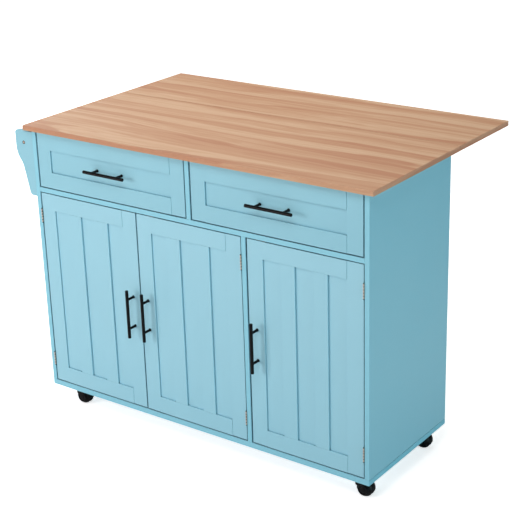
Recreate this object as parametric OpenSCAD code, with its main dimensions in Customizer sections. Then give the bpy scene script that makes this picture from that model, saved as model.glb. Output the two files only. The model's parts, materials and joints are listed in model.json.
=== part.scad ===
// Drop leaf kitchen island on casters: two drawers over three doors, with a towel rail.
// All lengths are millimetres. X runs to the right, Y to the back, Z up from the floor.

/* [Cabinet] */
// Width of the cabinet over both side panels
cabinet_w = 1210; // [1060:10:1400]
// Depth of the cabinet from its front edges to its back
cabinet_d = 442; // [380:2:520]
// Thickness of the side panels and uprights
board_t = 15; // [12:1:18]
// Thickness of the bottom board
base_t = 18; // [15:1:24]
// Thickness of the deck between drawers and doors
deck_t = 15; // [12:1:20]
// Thickness of the back panel
back_t = 9; // [6:1:12]
// Clear height behind the doors
door_opening_h = 649; // [560:1:720]
// Clear height behind the drawer fronts
drawer_opening_h = 182; // [165:1:220]
// Gap all round the doors and drawer fronts
front_gap = 3; // [2.8:0.1:4]
// Gap beside the drawers and along the opening edges of the doors
side_gap = 4.5; // [3:0.5:6]
// Width of the boards that tie the top of the cabinet together
stretcher_w = 60; // [40:5:90]

/* [Worktop and leaf] */
// Thickness of the worktop and the leaf
top_t = 15; // [13:0.5:25]
// Worktop overhang at each side
top_side_over = 22; // [10:1:40]
// Worktop overhang at the front
top_front_over = 17; // [10:1:30]
// Worktop overhang behind the cabinet, which carries the leaf hinges
top_back_over = 13; // [13:1:20]
// Depth of the leaf
leaf_d = 305; // [297:2:331]
// Gap between worktop and leaf
seam_gap = 1.5; // [1:0.1:3]
// Rounding of the outer corners seen from above
top_corner_r = 4; // [3:1:20]
// Small bevel along the long edges
top_bevel = 1; // [0.5:0.1:2]

/* [Leaf hinges] */
// Number of hinge lengths along the seam
strip_count = 3; // [2:1:4]
// Length of one hinge
strip_l = 200; // [150:10:240]
// Knuckles on each hinge
strip_knuckles = 8; // [4:2:10]
// Width of one hinge leaf from the pin
strip_w = 12.4; // [10:0.2:12.4]
// Thickness of the hinge leaves
strip_t = 1.2; // [1:0.1:1.5]
// Outside radius of the hinge knuckles
strip_r = 3.2; // [3:0.1:3.4]
// Radius of the hinge pin
strip_pin_r = 1.2; // [1:0.1:1.5]

/* [Leaf braces] */
// Distance of each brace from the nearer cabinet side
brace_inset = 220; // [200:5:300]
// Height of the brace pivot below the leaf hinge
brace_drop = 105; // [100:1:115]
// Length of a brace between its centres
brace_l = 180; // [170:1:182]
// Width of the brace bar
brace_w = 10; // [8:0.5:10]
// Thickness of the brace bar
brace_t = 3; // [2:0.2:3.4]
// Depth of the channel under the leaf
channel_h = 11; // [9:0.5:12]
// Width inside that channel
channel_in_w = 7; // [6:0.2:9]
// Thickness of the channel and the wall plates
channel_t = 1.5; // [1:0.1:2]
// Radius of the brace pivot pin
brace_pin_r = 2.5; // [2:0.1:3]

/* [Doors] */
// Width of stiles and rails on the doors
door_frame_w = 53; // [40:1:65]
// Width of the two battens on each door
batten_w = 47; // [30:1:60]
// Thickness of the panel behind the door frame
panel_t = 11; // [8:0.5:12]
// Thickness of the stiles in front of the panel
stile_t = 4; // [3:0.5:7]
// How far rails and battens stand out past the stiles
rail_step = 1; // [0.5:0.1:2]

/* [Drawers] */
// Width of the frame on the drawer fronts
drawer_frame_w = 51; // [40:1:60]
// Gap between a drawer front and the worktop
drawer_top_gap = 6; // [3:0.5:10]
// Height of the drawer box
box_h = 110; // [80:5:125]
// Space behind the drawer box
box_back_gap = 37; // [25:1:80]
// Thickness of the drawer sides and back
box_t = 12; // [10:1:15]
// Thickness of the drawer bottom
box_bottom_t = 5; // [3:0.5:6]
// Height of the box above the deck
box_lift = 14; // [6:1:20]
// Space that a runner takes on each side of a box
runner_space = 12.7; // [12:0.1:14]
// Height of the cabinet half of a runner
runner_h = 27; // [24:1:35]

/* [Handles] */
// Spacing of the handle screws
handle_cc = 96; // [64:32:128]
// Overall length of a handle bar
handle_l = 156; // [136:2:188]
// Diameter of the handle bar
handle_d = 10; // [9:0.5:12]
// Diameter of the handle posts
post_d = 8; // [6:0.5:8.5]
// Distance from the face to the middle of the bar
handle_out = 30; // [25:1:35]
// Distance from a door edge to its handle
handle_inset = 27; // [20:1:32]
// Radius of the handle screws
handle_screw_r = 2; // [1.5:0.1:2.2]

/* [Door hinges] */
// Height of a door hinge
hinge_h = 45; // [35:1:60]
// Distance from a door end to the middle of its hinge
hinge_inset = 75; // [60:1:120]
// Outside radius of a door hinge barrel
hinge_r = 2.4; // [2:0.1:2.4]
// Radius of a door hinge pin
hinge_pin_r = 1.1; // [0.9:0.05:1.3]
// Depth of a hinge leaf into the cabinet
hinge_leaf_w = 16; // [12:0.5:17]

/* [Shelves] */
// Thickness of the shelves
shelf_t = 15; // [12:1:18]
// Height of a shelf above the bottom board
shelf_z = 315; // [200:5:400]
// Distance from the cabinet front to a shelf
shelf_setback = 30; // [22:2:80]
// Radius of a shelf pin
shelf_pin_r = 2.5; // [2:0.25:3]
// Step between the rows of shelf pin holes
pin_hole_step = 64; // [32:32:96]

/* [Towel rail] */
// How far the towel plates stand out from the side
rack_reach = 73; // [66:1:90]
// Height of the towel plates
rack_h = 207; // [200:1:220]
// Thickness of the towel plates
rack_t = 15; // [12:1:20]
// Drop of the towel plates below the worktop
rack_drop = 8; // [0:1:20]
// Distance of the rod from the side panel
rod_out = 38; // [30:1:45]
// Distance of the rod below the top of the plates
rod_drop = 38; // [25:1:50]
// Radius of the towel rod
rod_r = 8; // [6:0.5:10]

/* [Casters] */
// Overall height of a caster
caster_h = 67; // [64:1:75]
// Radius of the wheels
wheel_r = 25; // [22:0.5:26]
// Width of one of the two wheels of a caster
wheel_w = 16; // [13:1:18]
// Width of the flat tread, before the wheel curves in to its outer face
tread_w = 3; // [2:0.5:8]
// Trail of the wheels behind the swivel
trail = 23; // [21:0.5:26]
// Distance of the swivel from the cabinet sides
caster_side_in = 65; // [60:1:90]
// Distance of the swivel from the cabinet front and back
caster_front_in = 53; // [50:1:70]
// Size of the square mounting plate
plate_w = 42; // [36:1:50]

/* [Hidden] */
// Clearances that every fit below takes by name
run_fit = 0.05;
knuckle_gap = 0.3;
swing_gap = 0.3;
slide_gap = 0.4;

// How far a cutting shape runs past what it cuts, and how far fused shapes overlap
cut = 1;
lap = 1;

// Facets of the true round shapes, and of arcs that are sampled as points
$fn = 48;
arc_steps = 12;

// Heights, from the floor up
base_z = caster_h;
base_top = base_z + base_t;
deck_z = base_top + door_opening_h;
deck_top = deck_z + deck_t;
cabinet_top = deck_top + drawer_opening_h;
inner_d = cabinet_d - back_t;

// Widths shared out between pieces are rounded, so that neighbours still meet exactly
function hundredth(v) = round(v * 100) / 100;

// Doors, numbered 0 to 2 from the left; the last has the upright on its left
door_w = hundredth((cabinet_w - 3 * board_t - 3 * front_gap - 2 * side_gap) / 3);
door_h = door_opening_h - 2 * front_gap;
door_z = base_top + front_gap;
divider_x = board_t + 2 * door_w + 2 * front_gap + side_gap;
function door_x(i) = board_t + front_gap + i * (door_w + side_gap) + (i > 1 ? board_t + front_gap : 0);
door_hinge_x = [board_t + front_gap / 2, divider_x - front_gap / 2, cabinet_w - board_t - front_gap / 2];
door_side = [1, -1, -1];
handle_x = [door_x(0) + door_w - handle_inset, door_x(1) + handle_inset, door_x(2) + handle_inset];
recess_w = hundredth((door_w - 2 * door_frame_w - 2 * batten_w) / 3);

// Faces of the fronts, counted from the front edges of the cabinet
stile_y = rail_step;
panel_y = stile_y + stile_t;
front_back_y = panel_y + panel_t;

// Drawers, numbered 0 and 1 from the left
drawer_w = hundredth((cabinet_w - 3 * board_t - 4 * side_gap) / 2);
drawer_bay_w = drawer_w + 2 * side_gap;
drawer_front_z = deck_top + front_gap;
drawer_front_h = cabinet_top - drawer_top_gap - drawer_front_z;
function bay_x(i) = board_t + i * (drawer_bay_w + board_t);
box_w = drawer_bay_w - 2 * runner_space;
box_z = deck_top + box_lift;
box_l = inner_d - front_back_y - box_back_gap;
groove_z = 8;
groove_depth = 5;

// Runners: a channel on the cabinet and a narrower one on the box, back to back
runner_sheet = 1.2;
runner_lip = 3;
runner_clear = 3;
runner_nest = 4;
runner_over = 20;
runner_rise = 38;
rail_end_in = 4;
runner_y = front_back_y + 2;
runner_l = box_l + runner_over;
runner_z = box_z + runner_rise;
flange_w = runner_space - runner_clear;

// Handles
handle_chamfer = 1;
post_hole_depth = 10;
screw_tip_gap = 1;
screw_clear = 0.4;
screw_head_r = 4.2;
screw_head_t = 2.2;

// Door hinges: the pin stands in the gap, just in front of the cabinet edges
hinge_pin_y = -2;
hinge_leaf_gap = 1;
hinge_leaf_t = (front_gap - hinge_leaf_gap) / 2;
hinge_knuckles = 5;
hinge_cap_r = 1.8;
hinge_cap_t = 0.8;
hinge_z = [door_z + hinge_inset, door_z + door_h - hinge_inset];

// Catches and strikes at the top of the doors
catch_size = [46, 16, 12];
strike_size = [36, 1.2, 14];
catch_in = 45;
catch_x = [door_x(0) + door_w - catch_in, door_x(1) + catch_in, door_x(2) + catch_in];

// Shelves and the boards that tie the top
stretcher_in = 6;
shelf_gap = 1;
shelf_back_gap = 6;
pin_hole_depth = 6.5;
pin_out = 8;
pin_inset_y = 37;
shelf_bays = [[board_t, divider_x], [divider_x + board_t, cabinet_w - board_t]];
shelf_y1 = inner_d - shelf_back_gap;
pin_ys = [shelf_setback + pin_inset_y, shelf_y1 - pin_inset_y];
shelf_top = base_top + shelf_z;
pin_z = shelf_top - shelf_t - shelf_pin_r;

// Worktop and leaf
top_x = -top_side_over;
top_w = cabinet_w + 2 * top_side_over;
top_d = top_front_over + cabinet_d + top_back_over;
seam_y = cabinet_d + top_back_over;
leaf_y = seam_y + seam_gap;

// Leaf hinge axis, just under the seam
leaf_axis_y = seam_y + seam_gap / 2;
strip_top_gap = 0.2;
leaf_axis_down = strip_r + strip_top_gap;
leaf_axis_z = cabinet_top - leaf_axis_down;
knuckle_l = strip_l / strip_knuckles;
strip_end_in = 120;
strip_span = top_w - 2 * strip_end_in - strip_l;
function strip_x(k) = top_x + strip_end_in + k * strip_span / (strip_count - 1);

// Braces: each tip slides in a channel under the leaf as the leaf folds
tip_rise = leaf_axis_down - channel_t - brace_w / 2 - slide_gap;
brace_pivot_y = leaf_axis_y + tip_rise;
brace_pivot_z = leaf_axis_z - brace_drop;
brace_rest_z = brace_drop + tip_rise;
brace_rest_y = sqrt(brace_l * brace_l - brace_rest_z * brace_rest_z);
brace_rest_angle = atan2(brace_rest_y, brace_rest_z);
brace_ratio = (180 - brace_rest_angle) / 90;
channel_lead = 13;
channel_tail = 8;
channel_s0 = brace_drop + channel_lead;
channel_s1 = brace_drop + brace_l + channel_tail;
ear_r = 6;
ear_gap = 0.5;
rivet_out = 1;
foot_w = 34;
foot_h = 60;
brace_x = [brace_inset, cabinet_w - brace_inset];

// Towel rail
rack_top = cabinet_top - rack_drop;
rack_bottom = rack_top - rack_h;
shoulder_drop = 53;
shoulder_r = 70;
waist_r = 60;
shoulder_turn = 38;
toe_slope = 13;
rack_corner_r = 11;
rod_x = -rod_out;
rod_z = rack_top - rod_drop;
rod_seat = 6;
rack_screw_r = 2;
rack_screw_head_r = 4.4;
rack_screw_head_t = 2;
rack_screw_head_gap = 0.2;
rack_screw_l = 34;
rack_y = [0, cabinet_d - rack_t];
rod_y0 = rack_y[0] + rack_t - rod_seat;
rod_y1 = rack_y[1] + rod_seat;

// Casters
plate_t = 2.5;
plate_hole_r = 2.2;
plate_hole_in = 6;
king_pin_r = 4;
king_pin_l = 22;
king_tip_gap = 0.5;
boss_r = 12;
boss_gap = 0.6;
boss_up = 4;
hood_t = 1.4;
hood_clear = 0.5;
hood_skirt = 4;
hood_side_in = 6;
web_t = 9;
web_r = wheel_r - 6;
axle_r = 3;
axle_end_in = 6;
wheel_gap = 0.6;
axle_z = wheel_r;
hood_r = wheel_r + hood_clear + hood_t;
wheel_y0 = web_t / 2 + wheel_gap;
hood_half_w = wheel_y0 + wheel_w - hood_side_in;

// Wheel section: bevelled tread, domed side, a sunk ring and a hub cap
tread_bevel = 1;
face_r = 10;
ring_slope = 1;
ring_in = 2;
hub_r = 7;
hub_slope = 1;
hub_in = 0.5;
caster_x = [caster_side_in, cabinet_w - caster_side_in];
caster_y = [caster_front_in, cabinet_d - caster_front_in];

// The origin is below the middle of everything, on the floor
min_x = min(-rack_reach, top_x);
max_x = top_x + top_w;
min_y = min(-top_front_over, stile_y - handle_out - handle_d / 2);
max_y = leaf_y + leaf_d;
origin_x = (min_x + max_x) / 2;
origin_y = (min_y + max_y) / 2;

echo(origin = [origin_x, origin_y], leaf_axis = [leaf_axis_y - origin_y, leaf_axis_z]);
echo(brace_pivot = [brace_pivot_y - origin_y, brace_pivot_z], brace_ratio = brace_ratio);
echo(door_hinges = [for (x = door_hinge_x) x - origin_x], hinge_y = hinge_pin_y - origin_y);
echo(swivels = [for (x = caster_x) x - origin_x], [for (y = caster_y) y - origin_y]);
echo(axle = [for (x = caster_x) x + trail - origin_x], axle_z = axle_z, top = cabinet_top + top_t);

paint = "#9fcddd";
paint_edge = "#8acadb";
wood = "#d0a98c";
black = "#15181b";
steel = "#b9bcbf";
nylon = "#202326";

// ---- Shared shapes ----

// Moves a shape from cabinet measures to the part's own origin
module place() {
    translate([-origin_x, -origin_y, 0]) children();
}

// A board given by its low corner and its size
module board(corner, size) {
    translate(corner) cube(size);
}

// Turns a shape over to the other side of X when dir is -1
module facing(dir) {
    if (dir < 0) mirror([1, 0, 0]) children();
    else children();
}

// A round bar along X, Y or Z from a start point
module bar_x(start, r, l) {
    translate(start) rotate([0, 90, 0]) cylinder(r = r, h = l);
}
module bar_y(start, r, l) {
    translate(start) rotate([-90, 0, 0]) cylinder(r = r, h = l);
}
module bar_z(start, r, l) {
    translate(start) cylinder(r = r, h = l);
}

// Points along an arc from angle a0 to a1
function arc(c, r, a0, a1) =
    [for (k = [0 : arc_steps]) let (a = a0 + (a1 - a0) * k / arc_steps) c + r * [cos(a), sin(a)]];

// ---- Cabinet ----

module bottom_board() {
    color(paint) place() board([0, 0, base_z], [cabinet_w, cabinet_d, base_t]);
}

// Blind holes for shelf pins: face is the X of the surface, dir points into the board
module pin_holes(face, dir) {
    for (y = pin_ys, row = [-1 : 1]) {
        x = dir > 0 ? face - cut : face - pin_hole_depth;
        bar_x([x, y, pin_z + row * pin_hole_step], shelf_pin_r + run_fit, pin_hole_depth + cut);
    }
}

module left_side() {
    color(paint) place() difference() {
        board([0, 0, base_top], [board_t, cabinet_d, cabinet_top - base_top]);
        pin_holes(board_t, -1);
    }
}

module right_side() {
    color(paint) place() difference() {
        board([cabinet_w - board_t, 0, base_top], [board_t, cabinet_d, cabinet_top - base_top]);
        pin_holes(cabinet_w - board_t, 1);
    }
}

module back_panel() {
    color(paint) place()
        board([board_t, inner_d, base_top], [cabinet_w - 2 * board_t, back_t, cabinet_top - base_top]);
}

module drawer_deck() {
    color(paint) place() board([board_t, 0, deck_z], [cabinet_w - 2 * board_t, inner_d, deck_t]);
}

module drawer_divider() {
    color(paint) place()
        board([bay_x(1) - board_t, 0, deck_top], [board_t, inner_d, cabinet_top - deck_top]);
}

module door_divider() {
    color(paint) place() difference() {
        board([divider_x, 0, base_top], [board_t, inner_d, door_opening_h]);
        pin_holes(divider_x, 1);
        pin_holes(divider_x + board_t, -1);
    }
}

// Flat boards at the front and back of each drawer bay, which the worktop is screwed to
module top_stretchers() {
    color(paint) place()
        for (i = [0, 1], y = [front_back_y + stretcher_in, inner_d - stretcher_w])
            board([bay_x(i), y, cabinet_top - board_t], [drawer_bay_w, stretcher_w, board_t]);
}

// ---- Shelves ----

module shelf(bay) {
    board([bay[0] + shelf_gap, shelf_setback, shelf_top - shelf_t],
        [bay[1] - bay[0] - 2 * shelf_gap, shelf_y1 - shelf_setback, shelf_t]);
}

module left_shelf() {
    color(paint) place() shelf(shelf_bays[0]);
}

module right_shelf() {
    color(paint) place() shelf(shelf_bays[1]);
}

module shelf_pins() {
    color(steel) place()
        for (bay = shelf_bays, y = pin_ys) {
            bar_x([bay[0] - pin_hole_depth, y, pin_z], shelf_pin_r, pin_hole_depth + pin_out);
            bar_x([bay[1] - pin_out, y, pin_z], shelf_pin_r, pin_hole_depth + pin_out);
        }
}

// ---- Worktop and leaf ----

// Cross-section of a slab along Y, bevelled on the edge where lip is 1 (far) or -1 (near)
module slab_profile(d, lip) {
    b = top_bevel;
    near = lip < 0 ? [[b, 0], [0, b], [0, top_t - b], [b, top_t]] : [[0, 0], [0, top_t]];
    far = lip > 0 ? [[d - b, top_t], [d, top_t - b], [d, b], [d - b, 0]] : [[d, top_t], [d, 0]];
    polygon(concat(near, far));
}

// Outline from above, with the two corners on the lip side rounded
module slab_plan(d, lip) {
    r = top_corner_r;
    y_round = lip > 0 ? d - r : r;
    y_flat = lip > 0 ? 0 : r;
    union() {
        translate([0, y_flat]) square([top_w, d - r]);
        translate([r, lip > 0 ? d - r : 0]) square([top_w - 2 * r, r]);
        for (x = [r, top_w - r]) translate([x, y_round]) circle(r = r);
    }
}

module slab(y, d, lip) {
    translate([top_x, y, cabinet_top]) intersection() {
        rotate([90, 0, 90]) linear_extrude(height = top_w) slab_profile(d, lip);
        linear_extrude(height = top_t) slab_plan(d, lip);
    }
}

module worktop() {
    color(wood) place() slab(-top_front_over, top_d, -1);
}

module drop_leaf() {
    color(wood) place() slab(leaf_y, leaf_d, 1);
}

// One leaf of a strip hinge: side -1 is screwed under the worktop, 1 under the leaf
module strip_leaf(k, side) {
    first = side < 0 ? 0 : 1;
    translate([strip_x(k), leaf_axis_y, leaf_axis_z]) difference() {
        union() {
            translate([0, side < 0 ? -strip_w : strip_r + knuckle_gap, leaf_axis_down - strip_t])
                cube([strip_l, strip_w - strip_r - knuckle_gap, strip_t]);
            for (n = [first : 2 : strip_knuckles - 1]) {
                x0 = n * knuckle_l + knuckle_gap / 2;
                w = knuckle_l - knuckle_gap;
                bar_x([x0, 0, 0], strip_r, w);
                translate([x0, side < 0 ? -strip_r - knuckle_gap - lap : 0, leaf_axis_down - strip_t])
                    cube([w, strip_r + knuckle_gap + lap, strip_t]);
            }
        }
        bar_x([-cut, 0, 0], strip_pin_r + run_fit, strip_l + 2 * cut);
    }
}

module fixed_hinge_strips() {
    color(steel) place() for (k = [0 : strip_count - 1]) strip_leaf(k, -1);
}

module moving_hinge_strips() {
    color(steel) place() for (k = [0 : strip_count - 1]) strip_leaf(k, 1);
}

module leaf_hinge_pins() {
    color(steel) place()
        for (k = [0 : strip_count - 1]) bar_x([strip_x(k), leaf_axis_y, leaf_axis_z], strip_pin_r, strip_l);
}

// ---- Leaf braces ----

// Wall plate with two ears and the riveted pin that a brace turns on
module brace_plate(x) {
    ear_in = brace_t / 2 + ear_gap;
    ear_l = brace_pivot_y - cabinet_d;
    translate([x, cabinet_d, brace_pivot_z]) {
        translate([-foot_w / 2, 0, -foot_h / 2]) cube([foot_w, channel_t, foot_h]);
        for (side = [-1, 1]) translate([side > 0 ? ear_in : -ear_in - channel_t, 0, 0])
            difference() {
                union() {
                    translate([0, channel_t, -ear_r]) cube([channel_t, ear_l - channel_t, 2 * ear_r]);
                    bar_x([0, ear_l, 0], ear_r, channel_t);
                }
                bar_x([-cut, ear_l, 0], brace_pin_r + run_fit, channel_t + 2 * cut);
            }
        pin_half_l = ear_in + channel_t + rivet_out;
        bar_x([-pin_half_l, ear_l, 0], brace_pin_r, 2 * pin_half_l);
    }
}

module brace_plates() {
    color(steel) place() for (x = brace_x) brace_plate(x);
}

// Flat bar with round ends, a bore at its pivot and a glide at its tip
module brace(x) {
    translate([x, brace_pivot_y, brace_pivot_z]) rotate([-brace_rest_angle, 0, 0]) difference() {
        union() {
            translate([-brace_t / 2, -brace_w / 2, 0]) cube([brace_t, brace_w, brace_l]);
            for (z = [0, brace_l]) bar_x([-brace_t / 2, 0, z], brace_w / 2, brace_t);
            bar_x([slide_gap - channel_in_w / 2, 0, brace_l], brace_w / 2, channel_in_w - 2 * slide_gap);
        }
        bar_x([-brace_t, 0, 0], brace_pin_r + run_fit, 2 * brace_t);
    }
}

module left_brace() {
    color(steel) place() brace(brace_x[0]);
}

module right_brace() {
    color(steel) place() brace(brace_x[1]);
}

// Channel, open below, that a brace tip slides along
module brace_channels() {
    color(steel) place()
        for (x = brace_x)
            translate([x, leaf_axis_y + channel_s0, cabinet_top - channel_h]) {
                l = channel_s1 - channel_s0;
                half = channel_in_w / 2 + channel_t;
                difference() {
                    translate([-half, 0, 0]) cube([2 * half, l, channel_h]);
                    translate([-channel_in_w / 2, -cut, -channel_t])
                        cube([channel_in_w, l + 2 * cut, channel_h]);
                }
            }
}

// ---- Drawers ----

// Frame of four flat strips: the rails stand a little proud of the stiles
module frame_strips(x, z, w, h, strip_width) {
    for (sx = [x, x + w - strip_width])
        board([sx, stile_y, z], [strip_width, stile_t, h]);
    for (sz = [z, z + h - strip_width])
        board([x + strip_width, stile_y - rail_step, sz],
            [w - 2 * strip_width, stile_t + rail_step, strip_width]);
}

// Screw holes of a handle through everything behind it; along is [1, 0, 0] or [0, 0, 1]
module handle_holes(x, z, along) {
    for (s = [-1, 1])
        bar_y([x, -cut, z] + s * handle_cc / 2 * along, handle_screw_r + screw_clear,
            front_back_y + 2 * cut);
}

module drawer_front(i) {
    x = bay_x(i) + side_gap;
    difference() {
        board([x, panel_y, drawer_front_z], [drawer_w, panel_t, drawer_front_h]);
        handle_holes(x + drawer_w / 2, drawer_front_z + drawer_front_h / 2, [1, 0, 0]);
    }
    frame_strips(x, drawer_front_z, drawer_w, drawer_front_h, drawer_frame_w);
}

// Two sides and a back, with a groove that holds the bottom
module drawer_box(i) {
    x0 = bay_x(i) + runner_space;
    difference() {
        union() {
            for (x = [x0, x0 + box_w - box_t]) board([x, front_back_y, box_z], [box_t, box_l, box_h]);
            board([x0 + box_t, front_back_y + box_l - box_t, box_z], [box_w - 2 * box_t, box_t, box_h]);
        }
        drawer_bottom(i, run_fit);
    }
}

module drawer_bottom(i, grow = 0) {
    x0 = bay_x(i) + runner_space + box_t - groove_depth;
    board([x0 - grow, front_back_y, box_z + groove_z - grow],
        [box_w - 2 * box_t + 2 * groove_depth + 2 * grow, box_l - box_t + groove_depth + grow,
        box_bottom_t + 2 * grow]);
}

// Cabinet half of a runner: a channel with turned-in lips; dir points into the bay
module runner_channel(x, dir) {
    s = runner_sheet;
    translate([x, runner_y, runner_z]) facing(dir) {
        translate([0, 0, -runner_h / 2]) cube([s, runner_l, runner_h]);
        for (z = [-runner_h / 2, runner_h / 2 - s]) translate([0, 0, z]) cube([flange_w, runner_l, s]);
        for (z = [-runner_h / 2, runner_h / 2 - runner_lip])
            translate([flange_w - s, 0, z]) cube([s, runner_l, runner_lip]);
    }
}

// Drawer half: a narrower channel, back to back with it, on the drawer side
module runner_rail(x, dir) {
    s = runner_sheet;
    rail_h = runner_h - 2 * runner_nest;
    rail_l = box_l - rail_end_in;
    translate([x, runner_y, runner_z]) facing(dir) {
        translate([runner_space - s, 0, -rail_h / 2]) cube([s, rail_l, rail_h]);
        for (z = [-rail_h / 2, rail_h / 2 - s])
            translate([runner_clear, 0, z]) cube([flange_w, rail_l, s]);
    }
}

module drawer_runners() {
    color(steel) place() for (i = [0, 1]) {
        runner_channel(bay_x(i), 1);
        runner_channel(bay_x(i) + drawer_bay_w, -1);
    }
}

module drawer_rails(i) {
    runner_rail(bay_x(i), 1);
    runner_rail(bay_x(i) + drawer_bay_w, -1);
}

// ---- Handles ----

// Bar handle, upright when along is [0, 0, 1]: base is the Y of the face that it stands on
module handle(x, z, base, along) {
    turn = along[2] > 0 ? [0, 0, 0] : [0, 90, 0];
    translate([x, base, z]) rotate(turn) {
        difference() {
            union() {
                translate([0, -handle_out, 0]) {
                    cylinder(d = handle_d, h = handle_l - 2 * handle_chamfer, center = true);
                    for (s = [0, 180]) rotate([s, 0, 0])
                        translate([0, 0, handle_l / 2 - handle_chamfer])
                            cylinder(d1 = handle_d, d2 = handle_d - 2 * handle_chamfer, h = handle_chamfer);
                }
                for (s = [-1, 1]) bar_y([0, -handle_out, s * handle_cc / 2], post_d / 2, handle_out);
            }
            for (s = [-1, 1])
                bar_y([0, -post_hole_depth, s * handle_cc / 2], handle_screw_r + run_fit,
                    post_hole_depth + cut);
        }
        screw_in = post_hole_depth - screw_tip_gap;
        for (s = [-1, 1]) translate([0, 0, s * handle_cc / 2]) {
            bar_y([0, -screw_in, 0], handle_screw_r, front_back_y - base + screw_in);
            bar_y([0, front_back_y - base, 0], screw_head_r, screw_head_t);
        }
    }
}

module drawer_handle(i) {
    handle(bay_x(i) + side_gap + drawer_w / 2, drawer_front_z + drawer_front_h / 2, panel_y, [1, 0, 0]);
}

module door_handle(i) {
    handle(handle_x[i], door_z + door_h / 2, stile_y, [0, 0, 1]);
}

// ---- Doors ----

module door_panel(i) {
    difference() {
        board([door_x(i), panel_y, door_z], [door_w, panel_t, door_h]);
        handle_holes(handle_x[i], door_z + door_h / 2, [0, 0, 1]);
    }
}

module door_frame(i) {
    difference() {
        frame_strips(door_x(i), door_z, door_w, door_h, door_frame_w);
        handle_holes(handle_x[i], door_z + door_h / 2, [0, 0, 1]);
    }
    for (n = [1, 2])
        board([door_x(i) + door_frame_w + n * recess_w + (n - 1) * batten_w, stile_y - rail_step,
            door_z + door_frame_w], [batten_w, stile_t + rail_step, door_h - 2 * door_frame_w]);
}

// One leaf of a butt hinge in the gap: side is 1 on the door and -1 on the cabinet
module hinge_leaf(x, z, door_dir, side) {
    first = side < 0 ? 0 : 1;
    slice = hinge_h / hinge_knuckles;
    plate_x = side < 0 ? -front_gap / 2 : front_gap / 2 - hinge_leaf_t;
    translate([x, hinge_pin_y, z - hinge_h / 2]) facing(door_dir) difference() {
        union() {
            translate([plate_x, hinge_r + knuckle_gap, 0])
                cube([hinge_leaf_t, hinge_leaf_w - hinge_r - knuckle_gap, hinge_h]);
            for (n = [first : 2 : hinge_knuckles - 1]) {
                bar_z([0, 0, n * slice + knuckle_gap / 2], hinge_r, slice - knuckle_gap);
                translate([plate_x, 0, n * slice + knuckle_gap / 2])
                    cube([hinge_leaf_t, hinge_r + knuckle_gap + lap, slice - knuckle_gap]);
            }
        }
        bar_z([0, 0, -cut], hinge_pin_r + run_fit, hinge_h + 2 * cut);
    }
}

module door_hinge_plates() {
    color(steel) place()
        for (i = [0 : 2], z = hinge_z) hinge_leaf(door_hinge_x[i], z, door_side[i], -1);
}

module door_hinge_pins() {
    color(steel) place()
        for (x = door_hinge_x, z = hinge_z) {
            bar_z([x, hinge_pin_y, z - hinge_h / 2], hinge_pin_r, hinge_h);
            bar_z([x, hinge_pin_y, z + hinge_h / 2], hinge_cap_r, hinge_cap_t);
            bar_z([x, hinge_pin_y, z - hinge_h / 2 - hinge_cap_t], hinge_cap_r, hinge_cap_t);
        }
}

// Moving hinge leaves and the strike of one door
module door_fittings(i) {
    for (z = hinge_z) hinge_leaf(door_hinge_x[i], z, door_side[i], 1);
    board([catch_x[i] - strike_size[0] / 2, front_back_y, door_z + door_h - strike_size[2]], strike_size);
}

module door_catches() {
    color("#e8e8e4") place()
        for (x = catch_x)
            board([x - catch_size[0] / 2, front_back_y + strike_size[1] + swing_gap, deck_z - catch_size[2]],
                catch_size);
}

// ---- Towel rail ----

// Outline of a towel plate in X and Z: round top corner, bulging shoulder, hollow waist, round toe
function rack_outline() = let (
        s = [-rack_reach + shoulder_r, rack_top - shoulder_drop],
        w = s + (shoulder_r + waist_r) * [-cos(shoulder_turn), -sin(shoulder_turn)],
        waist_end = w + waist_r * [cos(toe_slope), sin(toe_slope)],
        // the straight run below the waist leans in by the toe slope
        foot_z = rack_bottom + rack_corner_r * (1 - sin(toe_slope)),
        foot = waist_end + (waist_end[1] - foot_z) * [tan(toe_slope), -1],
        toe = foot + rack_corner_r * [cos(toe_slope), sin(toe_slope)])
    concat(
        [[0, rack_top]],
        arc([-rack_reach + rack_corner_r, rack_top - rack_corner_r], rack_corner_r, 90, 180),
        arc(s, shoulder_r, 180, 180 + shoulder_turn),
        arc(w, waist_r, shoulder_turn, toe_slope),
        arc(toe, rack_corner_r, 180 + toe_slope, 270),
        [[0, rack_bottom]]);

// Towel plate: y is its low face, out is -1 when its screw head is on that face, 1 on the other
module towel_plate(y, out) {
    difference() {
        translate([0, y + rack_t, 0]) rotate([90, 0, 0]) linear_extrude(height = rack_t)
            polygon(rack_outline());
        bar_y([rod_x, y - cut, rod_z], rack_screw_r + screw_clear, rack_t + 2 * cut);
        bar_y([rod_x, out < 0 ? y + rack_t - rod_seat : y - cut, rod_z], rod_r + run_fit, rod_seat + cut);
        bar_y([rod_x, out < 0 ? y - cut : y + rack_t - rack_screw_head_t, rod_z],
            rack_screw_head_r + rack_screw_head_gap, rack_screw_head_t + cut);
    }
}

module front_towel_plate() {
    color(paint) place() towel_plate(rack_y[0], -1);
}

module rear_towel_plate() {
    color(paint) place() towel_plate(rack_y[1], 1);
}

module towel_rod() {
    pilot_l = rack_screw_l - rod_y0 + 2 * cut;
    color(wood) place() difference() {
        bar_y([rod_x, rod_y0, rod_z], rod_r, rod_y1 - rod_y0);
        for (y = [rod_y0 - cut, rod_y1 + cut - pilot_l])
            bar_y([rod_x, y, rod_z], rack_screw_r + run_fit, pilot_l);
    }
}

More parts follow.
